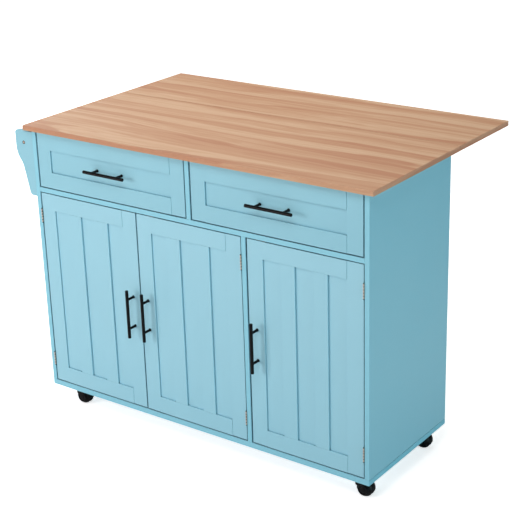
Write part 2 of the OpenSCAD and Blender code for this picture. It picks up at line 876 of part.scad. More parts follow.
module towel_rod_screws() {
    color("#9a8f86") place() {
        bar_y([rod_x, 0, rod_z], rack_screw_head_r, rack_screw_head_t);
        bar_y([rod_x, rack_screw_head_t, rod_z], rack_screw_r, rack_screw_l - rack_screw_head_t);
        bar_y([rod_x, cabinet_d - rack_screw_head_t, rod_z], rack_screw_head_r, rack_screw_head_t);
        bar_y([rod_x, cabinet_d - rack_screw_l, rod_z], rack_screw_r, rack_screw_l - rack_screw_head_t);
    }
}

// ---- Casters ----

module caster_plates() {
    hole_at = plate_w / 2 - plate_hole_in;
    color(nylon) place()
        for (x = caster_x, y = caster_y) translate([x, y, base_z - plate_t]) {
            difference() {
                translate([-plate_w / 2, -plate_w / 2, 0]) cube([plate_w, plate_w, plate_t]);
                for (sx = [-1, 1], sy = [-1, 1])
                    bar_z([sx * hole_at, sy * hole_at, -cut], plate_hole_r, plate_t + 2 * cut);
            }
            bar_z([0, 0, -king_pin_l], king_pin_r, king_pin_l);
        }
}

// Curve of a wheel's side, as radius and distance from its inner face: a quarter of an ellipse
function wheel_side(grow) = [for (k = [1 : arc_steps]) let (a = 90 * k / arc_steps)
    [face_r + (wheel_r + grow - face_r) * cos(a), tread_w + (wheel_w + grow - tread_w) * sin(a)]];

// Solid of revolution round the axle that follows both wheels, larger than them by grow
module wheel_cover(grow, inner_y) {
    for (turn = [0, 180]) rotate([0, 0, turn])
        translate([0, wheel_y0, 0]) rotate([-90, 0, 0]) rotate_extrude()
            polygon(concat([[0, inner_y - wheel_y0], [wheel_r + grow, inner_y - wheel_y0],
                [wheel_r + grow, tread_w]], wheel_side(grow), [[0, wheel_w + grow]]));
}

// Hood: swivel boss, centre web and a curved shell over both wheels, open at the sides
module hood(x, y) {
    boss_top = base_z - plate_t - boss_gap;
    boss_foot = axle_z + boss_up;
    translate([x, y, 0]) difference() {
        union() {
            bar_z([0, 0, boss_foot], boss_r, boss_top - boss_foot);
            intersection() {
                translate([trail, 0, axle_z]) wheel_cover(hood_clear + hood_t, 0);
                translate([trail - hood_r, -hood_half_w, axle_z - hood_skirt])
                    cube([2 * hood_r, 2 * hood_half_w, hood_skirt + hood_r]);
            }
            bar_y([trail, -web_t / 2, axle_z], web_r, web_t);
        }
        translate([trail, 0, axle_z]) wheel_cover(hood_clear, web_t / 2);
        bar_z([0, 0, base_z - plate_t - king_pin_l - king_tip_gap], king_pin_r + run_fit,
            king_pin_l + king_tip_gap + cut);
        bar_y([trail, -web_t, axle_z], axle_r + run_fit, 2 * web_t);
    }
}

// Half section of a wheel: radius first, then the distance from its inner face
module wheel_section() {
    polygon(concat([[0, 0], [wheel_r - tread_bevel, 0], [wheel_r, tread_bevel], [wheel_r, tread_w]],
        wheel_side(0), [[face_r - ring_slope, wheel_w - ring_in], [hub_r, wheel_w - ring_in],
        [hub_r - hub_slope, wheel_w - hub_in], [0, wheel_w - hub_in]]));
}

// Two wheels pressed on one axle, so that they turn together
module wheels(x, y) {
    axle_half_l = wheel_y0 + wheel_w - axle_end_in;
    translate([x + trail, y, axle_z]) {
        for (turn = [0, 180]) rotate([0, 0, turn])
            translate([0, wheel_y0, 0]) rotate([-90, 0, 0]) rotate_extrude() wheel_section();
        bar_y([0, -axle_half_l, 0], axle_r, 2 * axle_half_l);
    }
}

// ---- The nodes ----

module left_drawer_front() { color(paint) place() drawer_front(0); }
module left_drawer_box() { color("#e9eaea") place() drawer_box(0); }
module left_drawer_bottom() { color("#e9eaea") place() drawer_bottom(0); }
module left_drawer_handle() { color(black) place() drawer_handle(0); }
module left_drawer_rails() { color(steel) place() drawer_rails(0); }
module right_drawer_front() { color(paint) place() drawer_front(1); }
module right_drawer_box() { color("#e9eaea") place() drawer_box(1); }
module right_drawer_bottom() { color("#e9eaea") place() drawer_bottom(1); }
module right_drawer_handle() { color(black) place() drawer_handle(1); }
module right_drawer_rails() { color(steel) place() drawer_rails(1); }
module left_door_panel() { color(paint) place() door_panel(0); }
module left_door_frame() { color(paint) place() door_frame(0); }
module left_door_handle() { color(black) place() door_handle(0); }
module left_door_fittings() { color(steel) place() door_fittings(0); }
module middle_door_panel() { color(paint) place() door_panel(1); }
module middle_door_frame() { color(paint) place() door_frame(1); }
module middle_door_handle() { color(black) place() door_handle(1); }
module middle_door_fittings() { color(steel) place() door_fittings(1); }
module right_door_panel() { color(paint) place() door_panel(2); }
module right_door_frame() { color(paint) place() door_frame(2); }
module right_door_handle() { color(black) place() door_handle(2); }
module right_door_fittings() { color(steel) place() door_fittings(2); }
module front_left_hood() { color(nylon) place() hood(caster_x[0], caster_y[0]); }
module front_left_wheels() { color(black) place() wheels(caster_x[0], caster_y[0]); }
module front_right_hood() { color(nylon) place() hood(caster_x[1], caster_y[0]); }
module front_right_wheels() { color(black) place() wheels(caster_x[1], caster_y[0]); }
module back_left_hood() { color(nylon) place() hood(caster_x[0], caster_y[1]); }
module back_left_wheels() { color(black) place() wheels(caster_x[0], caster_y[1]); }
module back_right_hood() { color(nylon) place() hood(caster_x[1], caster_y[1]); }
module back_right_wheels() { color(black) place() wheels(caster_x[1], caster_y[1]); }

bottom_board();
left_side();
right_side();
back_panel();
drawer_deck();
drawer_divider();
door_divider();
top_stretchers();
left_shelf();
right_shelf();
shelf_pins();
worktop();
fixed_hinge_strips();
leaf_hinge_pins();
brace_plates();
drawer_runners();
door_hinge_plates();
door_hinge_pins();
door_catches();
front_towel_plate();
rear_towel_plate();
towel_rod();
towel_rod_screws();
caster_plates();
drop_leaf();
moving_hinge_strips();
brace_channels();
left_brace();
right_brace();
left_drawer_front();
left_drawer_box();
left_drawer_bottom();
left_drawer_handle();
left_drawer_rails();
right_drawer_front();
right_drawer_box();
right_drawer_bottom();
right_drawer_handle();
right_drawer_rails();
left_door_panel();
left_door_frame();
left_door_handle();
left_door_fittings();
middle_door_panel();
middle_door_frame();
middle_door_handle();
middle_door_fittings();
right_door_panel();
right_door_frame();
right_door_handle();
right_door_fittings();
front_left_hood();
front_left_wheels();
front_right_hood();
front_right_wheels();
back_left_hood();
back_left_wheels();
back_right_hood();
back_right_wheels();
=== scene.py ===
# %% [markdown]
# # A drop leaf kitchen island
#
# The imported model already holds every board, hinge and wheel at its real size. This script gives
# them their looks: softened edges, paint, wood grain and metal, and the small things that a
# carpenter adds last, such as screws and edge tape. Each step first says what the piece is on the
# real object, how it could be made, and why this way was chosen.

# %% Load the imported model
import bmesh
import bpy
import json
import numpy as np
from mathutils import Matrix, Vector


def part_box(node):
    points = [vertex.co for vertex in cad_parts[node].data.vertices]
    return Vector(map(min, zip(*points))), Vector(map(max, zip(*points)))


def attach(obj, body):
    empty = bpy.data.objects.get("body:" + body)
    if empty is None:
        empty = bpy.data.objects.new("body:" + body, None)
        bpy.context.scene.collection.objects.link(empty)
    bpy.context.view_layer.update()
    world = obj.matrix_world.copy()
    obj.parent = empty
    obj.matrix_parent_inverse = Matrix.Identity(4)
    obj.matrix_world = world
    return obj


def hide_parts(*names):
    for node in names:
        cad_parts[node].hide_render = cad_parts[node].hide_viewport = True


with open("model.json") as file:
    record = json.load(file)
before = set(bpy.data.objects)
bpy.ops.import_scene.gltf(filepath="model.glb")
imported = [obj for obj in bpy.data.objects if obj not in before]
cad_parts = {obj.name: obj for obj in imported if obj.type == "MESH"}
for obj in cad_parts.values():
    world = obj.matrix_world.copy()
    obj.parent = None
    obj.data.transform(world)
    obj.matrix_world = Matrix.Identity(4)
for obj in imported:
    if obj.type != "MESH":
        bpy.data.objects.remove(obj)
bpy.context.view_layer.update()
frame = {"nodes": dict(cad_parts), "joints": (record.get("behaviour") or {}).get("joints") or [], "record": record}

# %% [markdown]
# ## Millimetres, boxes and pivots
#
# Blender counts in metres and a furniture maker in millimetres. All sizes of pieces below are
# millimetres, and one factor turns them into metres at the very end, when a mesh is written. The
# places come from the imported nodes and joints, so no piece is placed by eye.

# %% Measures taken from the frame
MM = 0.001


def box_mm(node):
    """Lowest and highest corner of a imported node, in millimetres."""
    low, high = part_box(node)
    return np.array(low) / MM, np.array(high) / MM


def middle_mm(node):
    """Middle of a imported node's box, in millimetres."""
    return sum(box_mm(node)) / 2


def pivot_mm(joint):
    """A point on the axis of a joint, in millimetres."""
    found = [j for j in frame["joints"] if j["name"] == joint][0]
    return np.array(found["pos_m"]) / MM


cabinet_low = np.minimum(box_mm("left_side")[0], box_mm("bottom_board")[0])
cabinet_high = box_mm("right_side")[1]
print("cabinet from", cabinet_low.round(1), "to", cabinet_high.round(1))

# %% [markdown]
# ## Colours and nodes
#
# Colours are picked as sRGB hex values, as a paint card gives them, and the renderer works with
# linear light. One function turns the first into the second. Another adds a node to a material,
# sets its properties and joins its inputs. The kinds of node that the recipes repeat, such as
# noise, a change of range and a mix of two colours, get a short function each.

# %% Helpers for materials


def linear(hex_colour):
    """sRGB hex to linear light: c/12.92 below 0.04045, else ((c + 0.055)/1.055)^2.4, per channel."""
    srgb = np.array([int(hex_colour[i:i + 2], 16) / 255 for i in (1, 3, 5)])
    light = np.where(srgb <= 0.04045, srgb / 12.92, ((srgb + 0.055) / 1.055) ** 2.4)
    return (*light.tolist(), 1.0)


def add(owner, kind, settings=None, inputs=None):
    """Adds one node. Settings are its properties; an input is a value or another node's output."""
    tree = owner.node_tree
    node = tree.nodes.new(kind)
    for key, value in (settings or {}).items():
        setattr(node, key, value)
    for key, value in (inputs or {}).items():
        if isinstance(value, bpy.types.NodeSocket):
            tree.links.new(value, node.inputs[key])
        else:
            node.inputs[key].default_value = value
    return node


def start_material(name, **sockets):
    """A material with its Principled shader, whose sockets are set by name."""
    material = bpy.data.materials.new(name)
    material.use_nodes = True
    shader = material.node_tree.nodes["Principled BSDF"]
    for key, value in sockets.items():
        shader.inputs[key.replace("_", " ")].default_value = value
    place = add(material, "ShaderNodeTexCoord")
    return material, shader, place.outputs["Object"]


def join(material, shader, **outputs):
    """Links outputs to the sockets of the shader with those names."""
    for key, output in outputs.items():
        material.node_tree.links.new(output, shader.inputs[key.replace("_", " ")])


def calc(owner, operation, *inputs, kind="Math"):
    """The first output of one arithmetic node, for numbers or, with kind VectorMath, for places."""
    return add(owner, "ShaderNode" + kind, {"operation": operation}, dict(enumerate(inputs))).outputs[0]


# A noise of scale s repeats about every 1/s metres, so a size in millimetres turns into a scale
def per_metre(size_mm):
    return 1 / (size_mm * MM)


def noise(owner, place, scale, detail=2.0):
    """Fractal noise of place times scale, about 0.5 on the average."""
    return add(owner, "ShaderNodeTexNoise", None,
               {"Vector": place, "Scale": scale, "Detail": detail}).outputs["Fac"]


def ramp(owner, value, span, to=(0.0, 1.0), kind="SMOOTHSTEP"):
    """Carries a value from one range to another, held at the ends: t = (value - a)/(b - a), and
    smoothstep is 3t^2 - 2t^3."""
    return add(owner, "ShaderNodeMapRange", {"interpolation_type": kind},
               {"Value": value, "From Min": span[0], "From Max": span[1],
                "To Min": to[0], "To Max": to[1]}).outputs["Result"]


# The colour form of the Mix node keeps its inputs and output at these places
MIX_FACTOR, MIX_A, MIX_B, MIX_RESULT = 0, 6, 7, 2


def blend(owner, share, first, second):
    """The colour first (1 - share) + second share."""
    return add(owner, "ShaderNodeMix", {"data_type": "RGBA"},
               {MIX_FACTOR: share, MIX_A: first, MIX_B: second}).outputs[MIX_RESULT]


def bumps(owner, height, depth, strength=0.5):
    """Normals tilted as if the surface rose by height times depth, in millimetres."""
    return add(owner, "ShaderNodeBump", None,
               {"Height": height, "Distance": depth * MM, "Strength": strength}).outputs["Normal"]


# %% [markdown]
# ## Painted board
#
# The cabinet is fibreboard under a sprayed satin lacquer. Paint is not a flat colour: the film is
# a little thicker here and thinner there, and it dries with a faint orange-peel texture that
# breaks up the reflection. A slow noise shifts the tone by a few percent, and a fine one works as
# bump. Real orange peel is about 1 mm wide; it is drawn at 3 mm, so that it shows at all.
#
# In the gaps and along the foot of every strip the paint is drawn darker, as painted shade for the
# light that does not get in there. Ambient occlusion measures how closed a point is within 9 mm,
# and its result mixes in a deep blue. Painted lines would do it too, but they would have to be
# drawn again whenever a size changes.

# %% Satin lacquer on fibreboard
TONE_PATCH = 260
# Painted shade: the deep blue that the lacquer turns to in gaps and at the foot of strips
CREVICE, PAINTED_SHADE_TONE, OPEN_SPAN = 9, "#06506c", (0.1, 0.62)
ORANGE_PEEL, PEEL_DEPTH = 3, 0.05
FULL, SHEEN_SPREAD = (0.0, 1.0), 0.04


def lacquered_board(name, thin_coat, full_coat, roughness):
    """Tone = noise between two coats, mixed to the painted shade tone where less than about half the sky shows."""
    material, shader, place = start_material(name, Roughness=roughness, IOR=1.5)
    patches = noise(material, place, per_metre(TONE_PATCH), 3.0)
    tone = blend(material, patches, linear(thin_coat), linear(full_coat))
    peel = noise(material, place, per_metre(ORANGE_PEEL), 1.0)
    # Painted shade: where ambient occlusion finds a point closed in, the tone is mixed towards the deep blue
    open_air = add(material, "ShaderNodeAmbientOcclusion", {"samples": 8}, {"Distance": CREVICE * MM})
    depth = ramp(material, open_air.outputs["AO"], OPEN_SPAN)
    sheen = ramp(material, patches, FULL, (roughness - SHEEN_SPREAD, roughness + SHEEN_SPREAD), "LINEAR")
    join(material, shader, Base_Color=blend(material, depth, linear(PAINTED_SHADE_TONE), tone),
         Roughness=sheen, Normal=bumps(material, peel, PEEL_DEPTH))
    return material


# Sprayed satin lacquer: an even pale blue with a broad, soft gleam and no mirror image in it
blue_lacquer = lacquered_board("satin_lacquer_on_fibreboard", "#92ccdf", "#8ec9dd", 0.48)
# Painted shade: a darker copy of the lacquer for the drawer fronts and towel brackets
shaded_lacquer_copy = lacquered_board("satin_lacquer_painted_shade", "#87c4d7", "#83c1d5", 0.48)
print("paint nodes:", len(blue_lacquer.node_tree.nodes))

# %% [markdown]
# The front edges of the boards are closed with a plastic edge tape. It is matched to the lacquer,
# but never quite: it is duller and a little stronger in colour, and that draws the thin outline
# round every door and drawer. One more call of the same recipe makes it.

# %% Edge tape
edge_tape = lacquered_board("glued_edge_tape", "#85cbe0", "#81c8de", 0.55)

# %% [markdown]
# ## Wood grain
#
# The worktop and the leaf are board with a printed wood décor under a hard film. The print shows
# growth rings sawn lengthwise: each band begins with a sharp dark line and fades to light. So the
# ring is a saw wave of the distance across the grain. Alone it would repeat like wallpaper, so
# two stretched noises first push every point sideways, one in long sweeps and one in short
# waves. Broad bands, streaks and pores are noise squeezed across the grain and stretched along
# it, and the bands and streaks follow the same push. The leaf starts at another place in the
# noise, so that the pattern breaks at the seam as it does between two sawn boards.

# %% Wood décor with its grain along one axis
RING_WIDTH, RING_EDGE, RING_FADE = 88, 0.05, 0.8
PORE_SPAN, PORE_SHARE, PORE_DEPTH = (0.34, 0.5), 0.22, 0.04
# Width across and length along the grain of each noise, and the push of the first two, in mm
GRAIN_NOISE = {"sweep": (240, 1900), "wave": (80, 380), "broad": (44, 1800), "streak": (9, 800),
               "pore": (3, 60)}
GRAIN_PUSH = {"sweep": 150, "wave": 30}
GRAIN_SHARE = {"ring": 0.42, "broad": 0.3, "streak": 0.28}
GRAIN_SPAN, TONE_SPANS = (0.34, 0.66), ((0.1, 0.5), (0.45, 0.9))
WORKTOP_START, LEAF_START = (37.3, 5.2, 10.7), (34.9, 31.1, 28.9)


def wood_decor(name, axis, tones, start, roughness=0.62):
    """Tones are the dark, middle and light colour of the grain, and start is the place in the noise.
    q = p + push across the grain, ring = smoothstep(fract(q / width)), tone = weighted sum of ring,
    broad(q) and streak(q); pores are mixed over it."""
    material, shader, place = start_material(name, Roughness=roughness, IOR=1.5)
    layers, bent = {}, place
    for layer, (across, along) in GRAIN_NOISE.items():
        scale = [per_metre(along if k == axis else across) for k in range(3)]
        point = bent if layer in GRAIN_SHARE else place
        layers[layer] = noise(material, calc(material, "MULTIPLY_ADD", point, scale, start,
                                             kind="VectorMath"), 1.0)
        if layer in GRAIN_PUSH:
            sideways = [0.0 if k == axis else GRAIN_PUSH[layer] * MM for k in range(3)]
            bent = calc(material, "MULTIPLY_ADD", layers[layer], sideways, bent, kind="VectorMath")
    across_only = [0.0 if k == axis else -per_metre(RING_WIDTH) for k in range(3)]
    count = add(material, "ShaderNodeVectorMath", {"operation": "DOT_PRODUCT"}, {0: bent, 1: across_only})
    saw = calc(material, "FRACT", count.outputs["Value"])
    fade = ramp(material, saw, (0.0, RING_FADE))
    edge = ramp(material, saw, (1.0, 1.0 - RING_EDGE), (0.0, GRAIN_SHARE["ring"]))
    mixed = calc(material, "MULTIPLY", fade, edge)
    for layer in ("broad", "streak"):
        mixed = calc(material, "MULTIPLY_ADD", ramp(material, layers[layer], GRAIN_SPAN),
                     GRAIN_SHARE[layer], mixed)
    colour = linear(tones[0])
    for tone, span in zip(tones[1:], TONE_SPANS):
        colour = blend(material, ramp(material, mixed, span), colour, linear(tone))
    pore = ramp(material, layers["pore"], PORE_SPAN, (PORE_SHARE, 0.0), "LINEAR")
    join(material, shader, Base_Color=blend(material, pore, colour, linear(tones[0])),
         Normal=bumps(material, layers["pore"], PORE_DEPTH, 0.4))
    return material


ALONG_X, ALONG_Y = 0, 1
# Printed décor under a film: warm beech tones with a low, even gleam. The tones of the edge band
# are redder and lighter, because the lamp that reaches it is cool
TOP_TONES, EDGE_TONES = ("#b08263", "#bb9575", "#c9ac8d"), ("#c88a6d", "#d19476", "#d99e80")
top_decor = wood_decor("printed_wood_decor_on_board", ALONG_X, TOP_TONES, WORKTOP_START)
leaf_decor = wood_decor("printed_wood_decor_on_leaf", ALONG_X, TOP_TONES, LEAF_START)
edge_decor = wood_decor("printed_edge_band", ALONG_Y, EDGE_TONES, LEAF_START)
rod_wood = wood_decor("oiled_beech_rod", ALONG_Y, TOP_TONES, WORKTOP_START)
print("wood nodes:", len(top_decor.node_tree.nodes))

# %% [markdown]
# ## Metals and plastics
#
# The hardware is small, so each finish is one step from a plain shader: two colours, the right
# roughness, and a noise that varies the roughness and the height. Powder coat is baked from dust
# and keeps a fine pebbled skin, finer than a render pixel, so its pebbles are drawn at 1.2 mm.
# Nickel and zinc are thin platings on steel. On a black surface the mirror share is all that is
# seen, so its level is turned down where soft wide lamps would turn black into grey.

# %% Hardware finishes
# The colour cloud is this many times as wide as the pebbles
CLOUD_WIDTH = 6


def hardware_finish(name, colours, roughness, spread, grain, depth, metallic=0.0, ior=1.5,
                    gloss_level=0.5):
    """A wide noise varies colour and roughness, by +- spread, and one of grain mm works as bump."""
    material, shader, place = start_material(name, Roughness=roughness, Metallic=metallic, IOR=ior,
                                             Specular_IOR_Level=gloss_level)
    cloud = noise(material, place, per_metre(grain * CLOUD_WIDTH))
    pebble = noise(material, place, per_metre(grain), 1.0)
    join(material, shader, Base_Color=blend(material, cloud, linear(colours[0]), linear(colours[1])),
         Roughness=ramp(material, cloud, FULL, (roughness - spread, roughness + spread), "LINEAR"),
         Normal=bumps(material, pebble, depth))
    return material


# Powder coat: deep black with a dull, wide highlight that shows the bars as round
BLACKS = ("#0a0d10", "#07090b")
black_powder = hardware_finish("black_powder_coat_on_steel", BLACKS, 0.4, 0.05, 1.2, 0.03,
                               gloss_level=0.12)
# Satin nickel: a warm pale metal that glints in short lines on the hinge knuckles
satin_nickel = hardware_finish("satin_nickel_plate", ("#dccdbf", "#cbb8a8"), 0.3, 0.06, 2, 0.01,
                               metallic=1.0)
# Zinc plate: cooler and cloudier, as on braces and screws that nobody polishes
zinc_plate = hardware_finish("zinc_plated_steel", ("#bcc2c6", "#a3a9ae"), 0.36, 0.08, 3, 0.02,
                             metallic=1.0)
# A screw head that has been handled: nickel gone dull
aged_screw = hardware_finish("nickel_screw_dulled", ("#b8a898", "#a3958a"), 0.42, 0.06, 1, 0.02,
                             metallic=1.0)
# Dark steel as painted shade: the dots between the bright knuckles, the ring round the rod screw
painted_shade_steel = hardware_finish("dark_steel_painted_shade", ("#3a4044", "#2c3134"), 0.4, 0.05, 1, 0.01,
                           metallic=1.0)
# Moulded nylon hoods and polyamide wheels: black, with one soft light on the shoulder
hood_nylon = hardware_finish("moulded_black_nylon", BLACKS, 0.34, 0.05, 1.5, 0.03, ior=1.53,
                             gloss_level=0.15)
wheel_plastic = hardware_finish("black_wheel_polyamide", BLACKS, 0.38, 0.06, 2, 0.04, ior=1.53,
                                gloss_level=0.15)
# White moulded ABS and melamine-faced board: clean, cold whites inside a coloured case
catch_abs = hardware_finish("white_moulded_abs", ("#e9e8e2", "#e2e1db"), 0.35, 0.04, 2, 0.02,
                            ior=1.53)
faced_board = hardware_finish("white_melamine_on_board", ("#e4e6e6", "#dcdfdf"), 0.5, 0.04, 1.5,
                              0.03)

# %% [markdown]
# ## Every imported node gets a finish
#
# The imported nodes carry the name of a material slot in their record. A node whose shape is right
# is kept, and only its material changes. Nodes that get a softer or more detailed copy further
# down are hidden there.

# %% Materials by slot
FINISH = {"paint": blue_lacquer, "wood_top": top_decor, "black_metal": black_powder,
          "nickel": satin_nickel, "zinc_steel": zinc_plate, "screw_steel": aged_screw,
          "catch_plastic": catch_abs, "drawer_board": faced_board, "caster_plastic": hood_nylon,
          "wheel_plastic": wheel_plastic}
slot_of = {row["node"]: row["material_slot"] for row in frame["record"]["subparts"]}
for node_name, node_object in frame["nodes"].items():
    node_object.data.materials.clear()
    node_object.data.materials.append(FINISH[slot_of[node_name]])
print("finishes given:", len(FINISH))

# %% [markdown]
# ## From arrays to a piece
#
# Each shape below is worked out as a grid of points: rows along a profile, columns round a
# closed loop. Neighbouring points make four-sided faces, and the first and last row are closed.
# Where a row shrinks to a point the doubles are merged, and then the faces are turned outwards.
# Weighted normals let the big flat faces stay flat beside their rounded edges.

# %% Grid faces and the piece maker
MERGE = 1e-3


def grid_faces(rows, columns):
    """Corner numbers of the faces between neighbouring points, round the columns and down the rows."""
    down = np.arange(rows - 1)[:, None]
    across = np.arange(columns)[None, :]
    right = (across + 1) % columns
    corners = [down * columns + across, down * columns + right,
               (down + 1) * columns + right, (down + 1) * columns + across]
    return np.stack(np.broadcast_arrays(*corners), axis=-1).reshape(-1, 4)


def closed_shell(points):
    """One closed mesh from a grid of points (rows, columns, 3) in millimetres. The first and last
    row are filled in, but a tube whose last row comes back to its first is closed as it is."""
    rows, columns = points.shape[:2]
    ends = [np.arange(columns).tolist(), (np.arange(columns) + (rows - 1) * columns).tolist()]
    if np.allclose(points[0], points[-1]):
        ends = []
    mesh = bpy.data.meshes.new("shell")
    mesh.from_pydata((points.reshape(-1, 3) * MM).tolist(), [], grid_faces(rows, columns).tolist() + ends)
    shell = bmesh.new()
    shell.from_mesh(mesh)
    bmesh.ops.remove_doubles(shell, verts=shell.verts, dist=MERGE * MM)
    bmesh.ops.recalc_face_normals(shell, faces=shell.faces)
    shell.to_mesh(mesh)
    shell.free()
    return mesh


def piece(name, shells, material, body, stands_for=()):
    """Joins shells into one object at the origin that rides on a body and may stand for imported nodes."""
    whole = bmesh.new()
    for points in shells:
        mesh = closed_shell(points)
        whole.from_mesh(mesh)
        bpy.data.meshes.remove(mesh)
    mesh = bpy.data.meshes.new(name)
    whole.to_mesh(mesh)
    whole.free()
    mesh.shade_smooth()
    mesh.materials.append(material)
    made = bpy.data.objects.new(name, mesh)
    bpy.context.scene.collection.objects.link(made)
    flat = made.modifiers.new("flat faces stay flat", "WEIGHTED_NORMAL")
    flat.weight = 100
    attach(made, body)
    if stands_for:
        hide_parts(*stands_for)
    return made


# %% [markdown]
# ## Three ways to make a shape
#
# Nearly everything on a cabinet is a board, something turned on a lathe, or something cut from a
# sheet. So there are three shape functions, and small helpers, such as the one that rounds the
# corners of an outline.

# %% Board, lathe and sheet
NEARLY_HALF = 0.49


def unit(vectors):
    """The same directions with length 1."""
    return vectors / np.linalg.norm(vectors, axis=-1, keepdims=True)


def turned_to(points, axis):
    """Gives the third coordinate to the named axis; the other two follow in the order x, y, z."""
    return np.roll(points, {"z": 0, "x": 1, "y": 2}[axis], axis=-1)


def soften(outline, reach, steps=4, closed=True):
    """Rounds the corners of an outline: between a start and an end that lie `reach` from the corner,
    point = (1-s)^2 start + 2s(1-s) corner + s^2 end, for s from 0 to 1."""
    corner = np.array(outline, float)
    before, after = np.roll(corner, 1, axis=0) - corner, np.roll(corner, -1, axis=0) - corner
    shorter = np.minimum(np.linalg.norm(before, axis=1), np.linalg.norm(after, axis=1))
    reach = np.broadcast_to(np.array(reach, float), len(corner)).copy()
    if not closed:
        reach[[0, -1]] = 0
    reach = np.minimum(reach, NEARLY_HALF * shorter)[:, None]
    start, end = corner + unit(before) * reach, corner + unit(after) * reach
    s = np.linspace(0, 1, steps + 1)[None, :, None]
    curve = (1 - s) ** 2 * start[:, None] + 2 * s * (1 - s) * corner[:, None] + s ** 2 * end[:, None]
    return curve.reshape(-1, 2)


def tube_loop(outline, reach):
    """A softened outline that comes back to its first point, for the wall of a turned tube."""
    loop = soften(outline, reach)
    return np.concatenate([loop, loop[:1]])


def board(low, high, edge=0.7, steps=3):
    """A board with rounded edges: every direction d of a sphere, pushed out to the corner that it
    points at. point = corner of the inner box with the signs of d, plus edge times d."""
    low, high = np.array(low, float), np.array(high, float)
    quarter = np.linspace(0, np.pi / 2, steps + 1)
    turn = np.concatenate([quarter + k * np.pi / 2 for k in range(4)])[None, :]
    tilt = np.concatenate([quarter - np.pi / 2, quarter])[:, None]
    sign_x = np.repeat([1, -1, -1, 1], steps + 1)[None, :]
    sign_y = np.repeat([1, 1, -1, -1], steps + 1)[None, :]
    sign_z = np.repeat([-1, 1], steps + 1)[:, None]
    aim = np.stack(np.broadcast_arrays(np.cos(tilt) * np.cos(turn), np.cos(tilt) * np.sin(turn),
                                       np.sin(tilt)), axis=-1)
    sign = np.stack(np.broadcast_arrays(sign_x, sign_y, sign_z), axis=-1)
    return (low + high) / 2 + ((high - low) / 2 - edge) * sign + edge * aim


def lathe(profile, centre, axis="z", steps=40):
    """Surface of revolution: for each profile pair (r, h) and angle a, (r cos a, r sin a, h) + centre."""
    radius, height = np.array(profile, float).T
    a = np.linspace(0, 2 * np.pi, steps, endpoint=False)
    ring = np.stack([np.outer(radius, np.cos(a)), np.outer(radius, np.sin(a)),
                     np.outer(height, np.ones(steps))], axis=-1)
    return turned_to(ring, axis) + np.array(centre, float)


def inset(outline, distance):
    """Moves a closed outline inwards along m = (n1 + n2)/(1 + n1.n2), n1 and n2 the normals beside
    each point."""
    side = unit(np.roll(outline, -1, axis=0) - outline)
    area = np.sum(outline[:, 0] * np.roll(outline[:, 1], -1) - np.roll(outline[:, 0], -1) * outline[:, 1])
    normal = np.stack([-side[:, 1], side[:, 0]], axis=1) * np.sign(area)
    other = np.roll(normal, 1, axis=0)
    miter = (normal + other) / (1 + np.sum(normal * other, axis=1))[:, None]
    return outline + distance * miter


def sheet(outline, low, high, edge=0.7, axis="z", steps=3):
    """A flat piece cut to an outline, its two rims rounded by a quarter circle of radius edge."""
    bend = np.linspace(0, np.pi / 2, steps + 1)
    depth = edge * (1 - np.sin(bend))
    rise = edge * (1 - np.cos(bend))
    insets = np.concatenate([depth, depth[::-1]])
    heights = np.concatenate([low + rise, high - rise[::-1]])
    rows = [np.column_stack([inset(outline, d), np.full(len(outline), h)])
            for d, h in zip(insets, heights)]
    return turned_to(np.stack(rows), axis)


def rectangle(low, high):
    return [(low[0], low[1]), (high[0], low[1]), (high[0], high[1]), (low[0], high[1])]


def round_bar(radius, half, reach):
    """Profile (r, h) of a bar from -half to half, with its two rims rounded."""
    return soften([(0, -half), (radius, -half), (radius, half), (0, half)], reach, closed=False)


# %% [markdown]
# ## Screws
#
# A screw head is a low dome with a cross pressed into it. It could be cut with a boolean, but a
# height map over a disc is cleaner: the dome's height minus the cross's depth, at every radius
# and angle. Close up it catches the light like a real head, and it costs a few hundred faces.

# %% Cross-head screws
CROSS_WIDTH, CROSS_REACH, CROSS_DEPTH, FLANK = 0.28, 0.62, 0.3, (0.12, 0.1)
DOME, RIM_SINK = 0.8, 0.3
# Radius and rise of each kind of head
HEADS = {"handle": (4.2, 1.8), "hinge": (2.9, 0.25), "strip": (2.7, 0.5), "brace plate": (3.4, 1.0),
         "channel": (2.5, 0.2), "case": (3.6, 0.5), "base": (4, 0.4), "rod": (3.6, 0.9),
         "catch": (2.6, 0.4), "caster plate": (3.6, 1.6)}


def screw(centre, axis, facing, kind):
    """A screw head of one kind, seated at centre and facing + or - along the axis.
    height = rise (1 - DOME (r/R)^2) - depth * cross(x, y), where cross is 1 inside two crossed bars."""
    radius, rise = HEADS[kind]
    steps = 32
    r = np.linspace(0, 1, 9)[:, None]
    a = np.linspace(0, 2 * np.pi, steps, endpoint=False)[None, :]
    x, y = r * np.cos(a), r * np.sin(a)
    near, far = np.minimum(abs(x), abs(y)), np.maximum(abs(x), abs(y))
    cross = (np.clip((CROSS_WIDTH - 2 * near) / FLANK[0], 0, 1)
             * np.clip((CROSS_REACH - far) / FLANK[1], 0, 1))
    height = rise * (1 - r ** 2 * DOME) - min(CROSS_DEPTH * radius, rise * DOME) * cross
    top = np.stack([x * radius, y * radius, height], axis=-1)
    rim = np.stack([x[-1:] * radius, y[-1:] * radius, np.full((1, steps), -RIM_SINK)], axis=-1)
    foot = np.stack([x[:1], y[:1], np.full((1, steps), -RIM_SINK)], axis=-1)
    whole = np.concatenate([top, rim, foot])
    whole[..., 2] *= facing
    return turned_to(whole, axis) + np.array(centre, float)


# %% [markdown]
# ## Worktop and leaf
#
# Two slabs of the same board lie edge to edge. Their outer corners are rounded off so that
# nobody is caught by them, and their rims are softened. A bevelled cube would give square
# corners, so the outline is drawn first and the rim profile is carried round it.

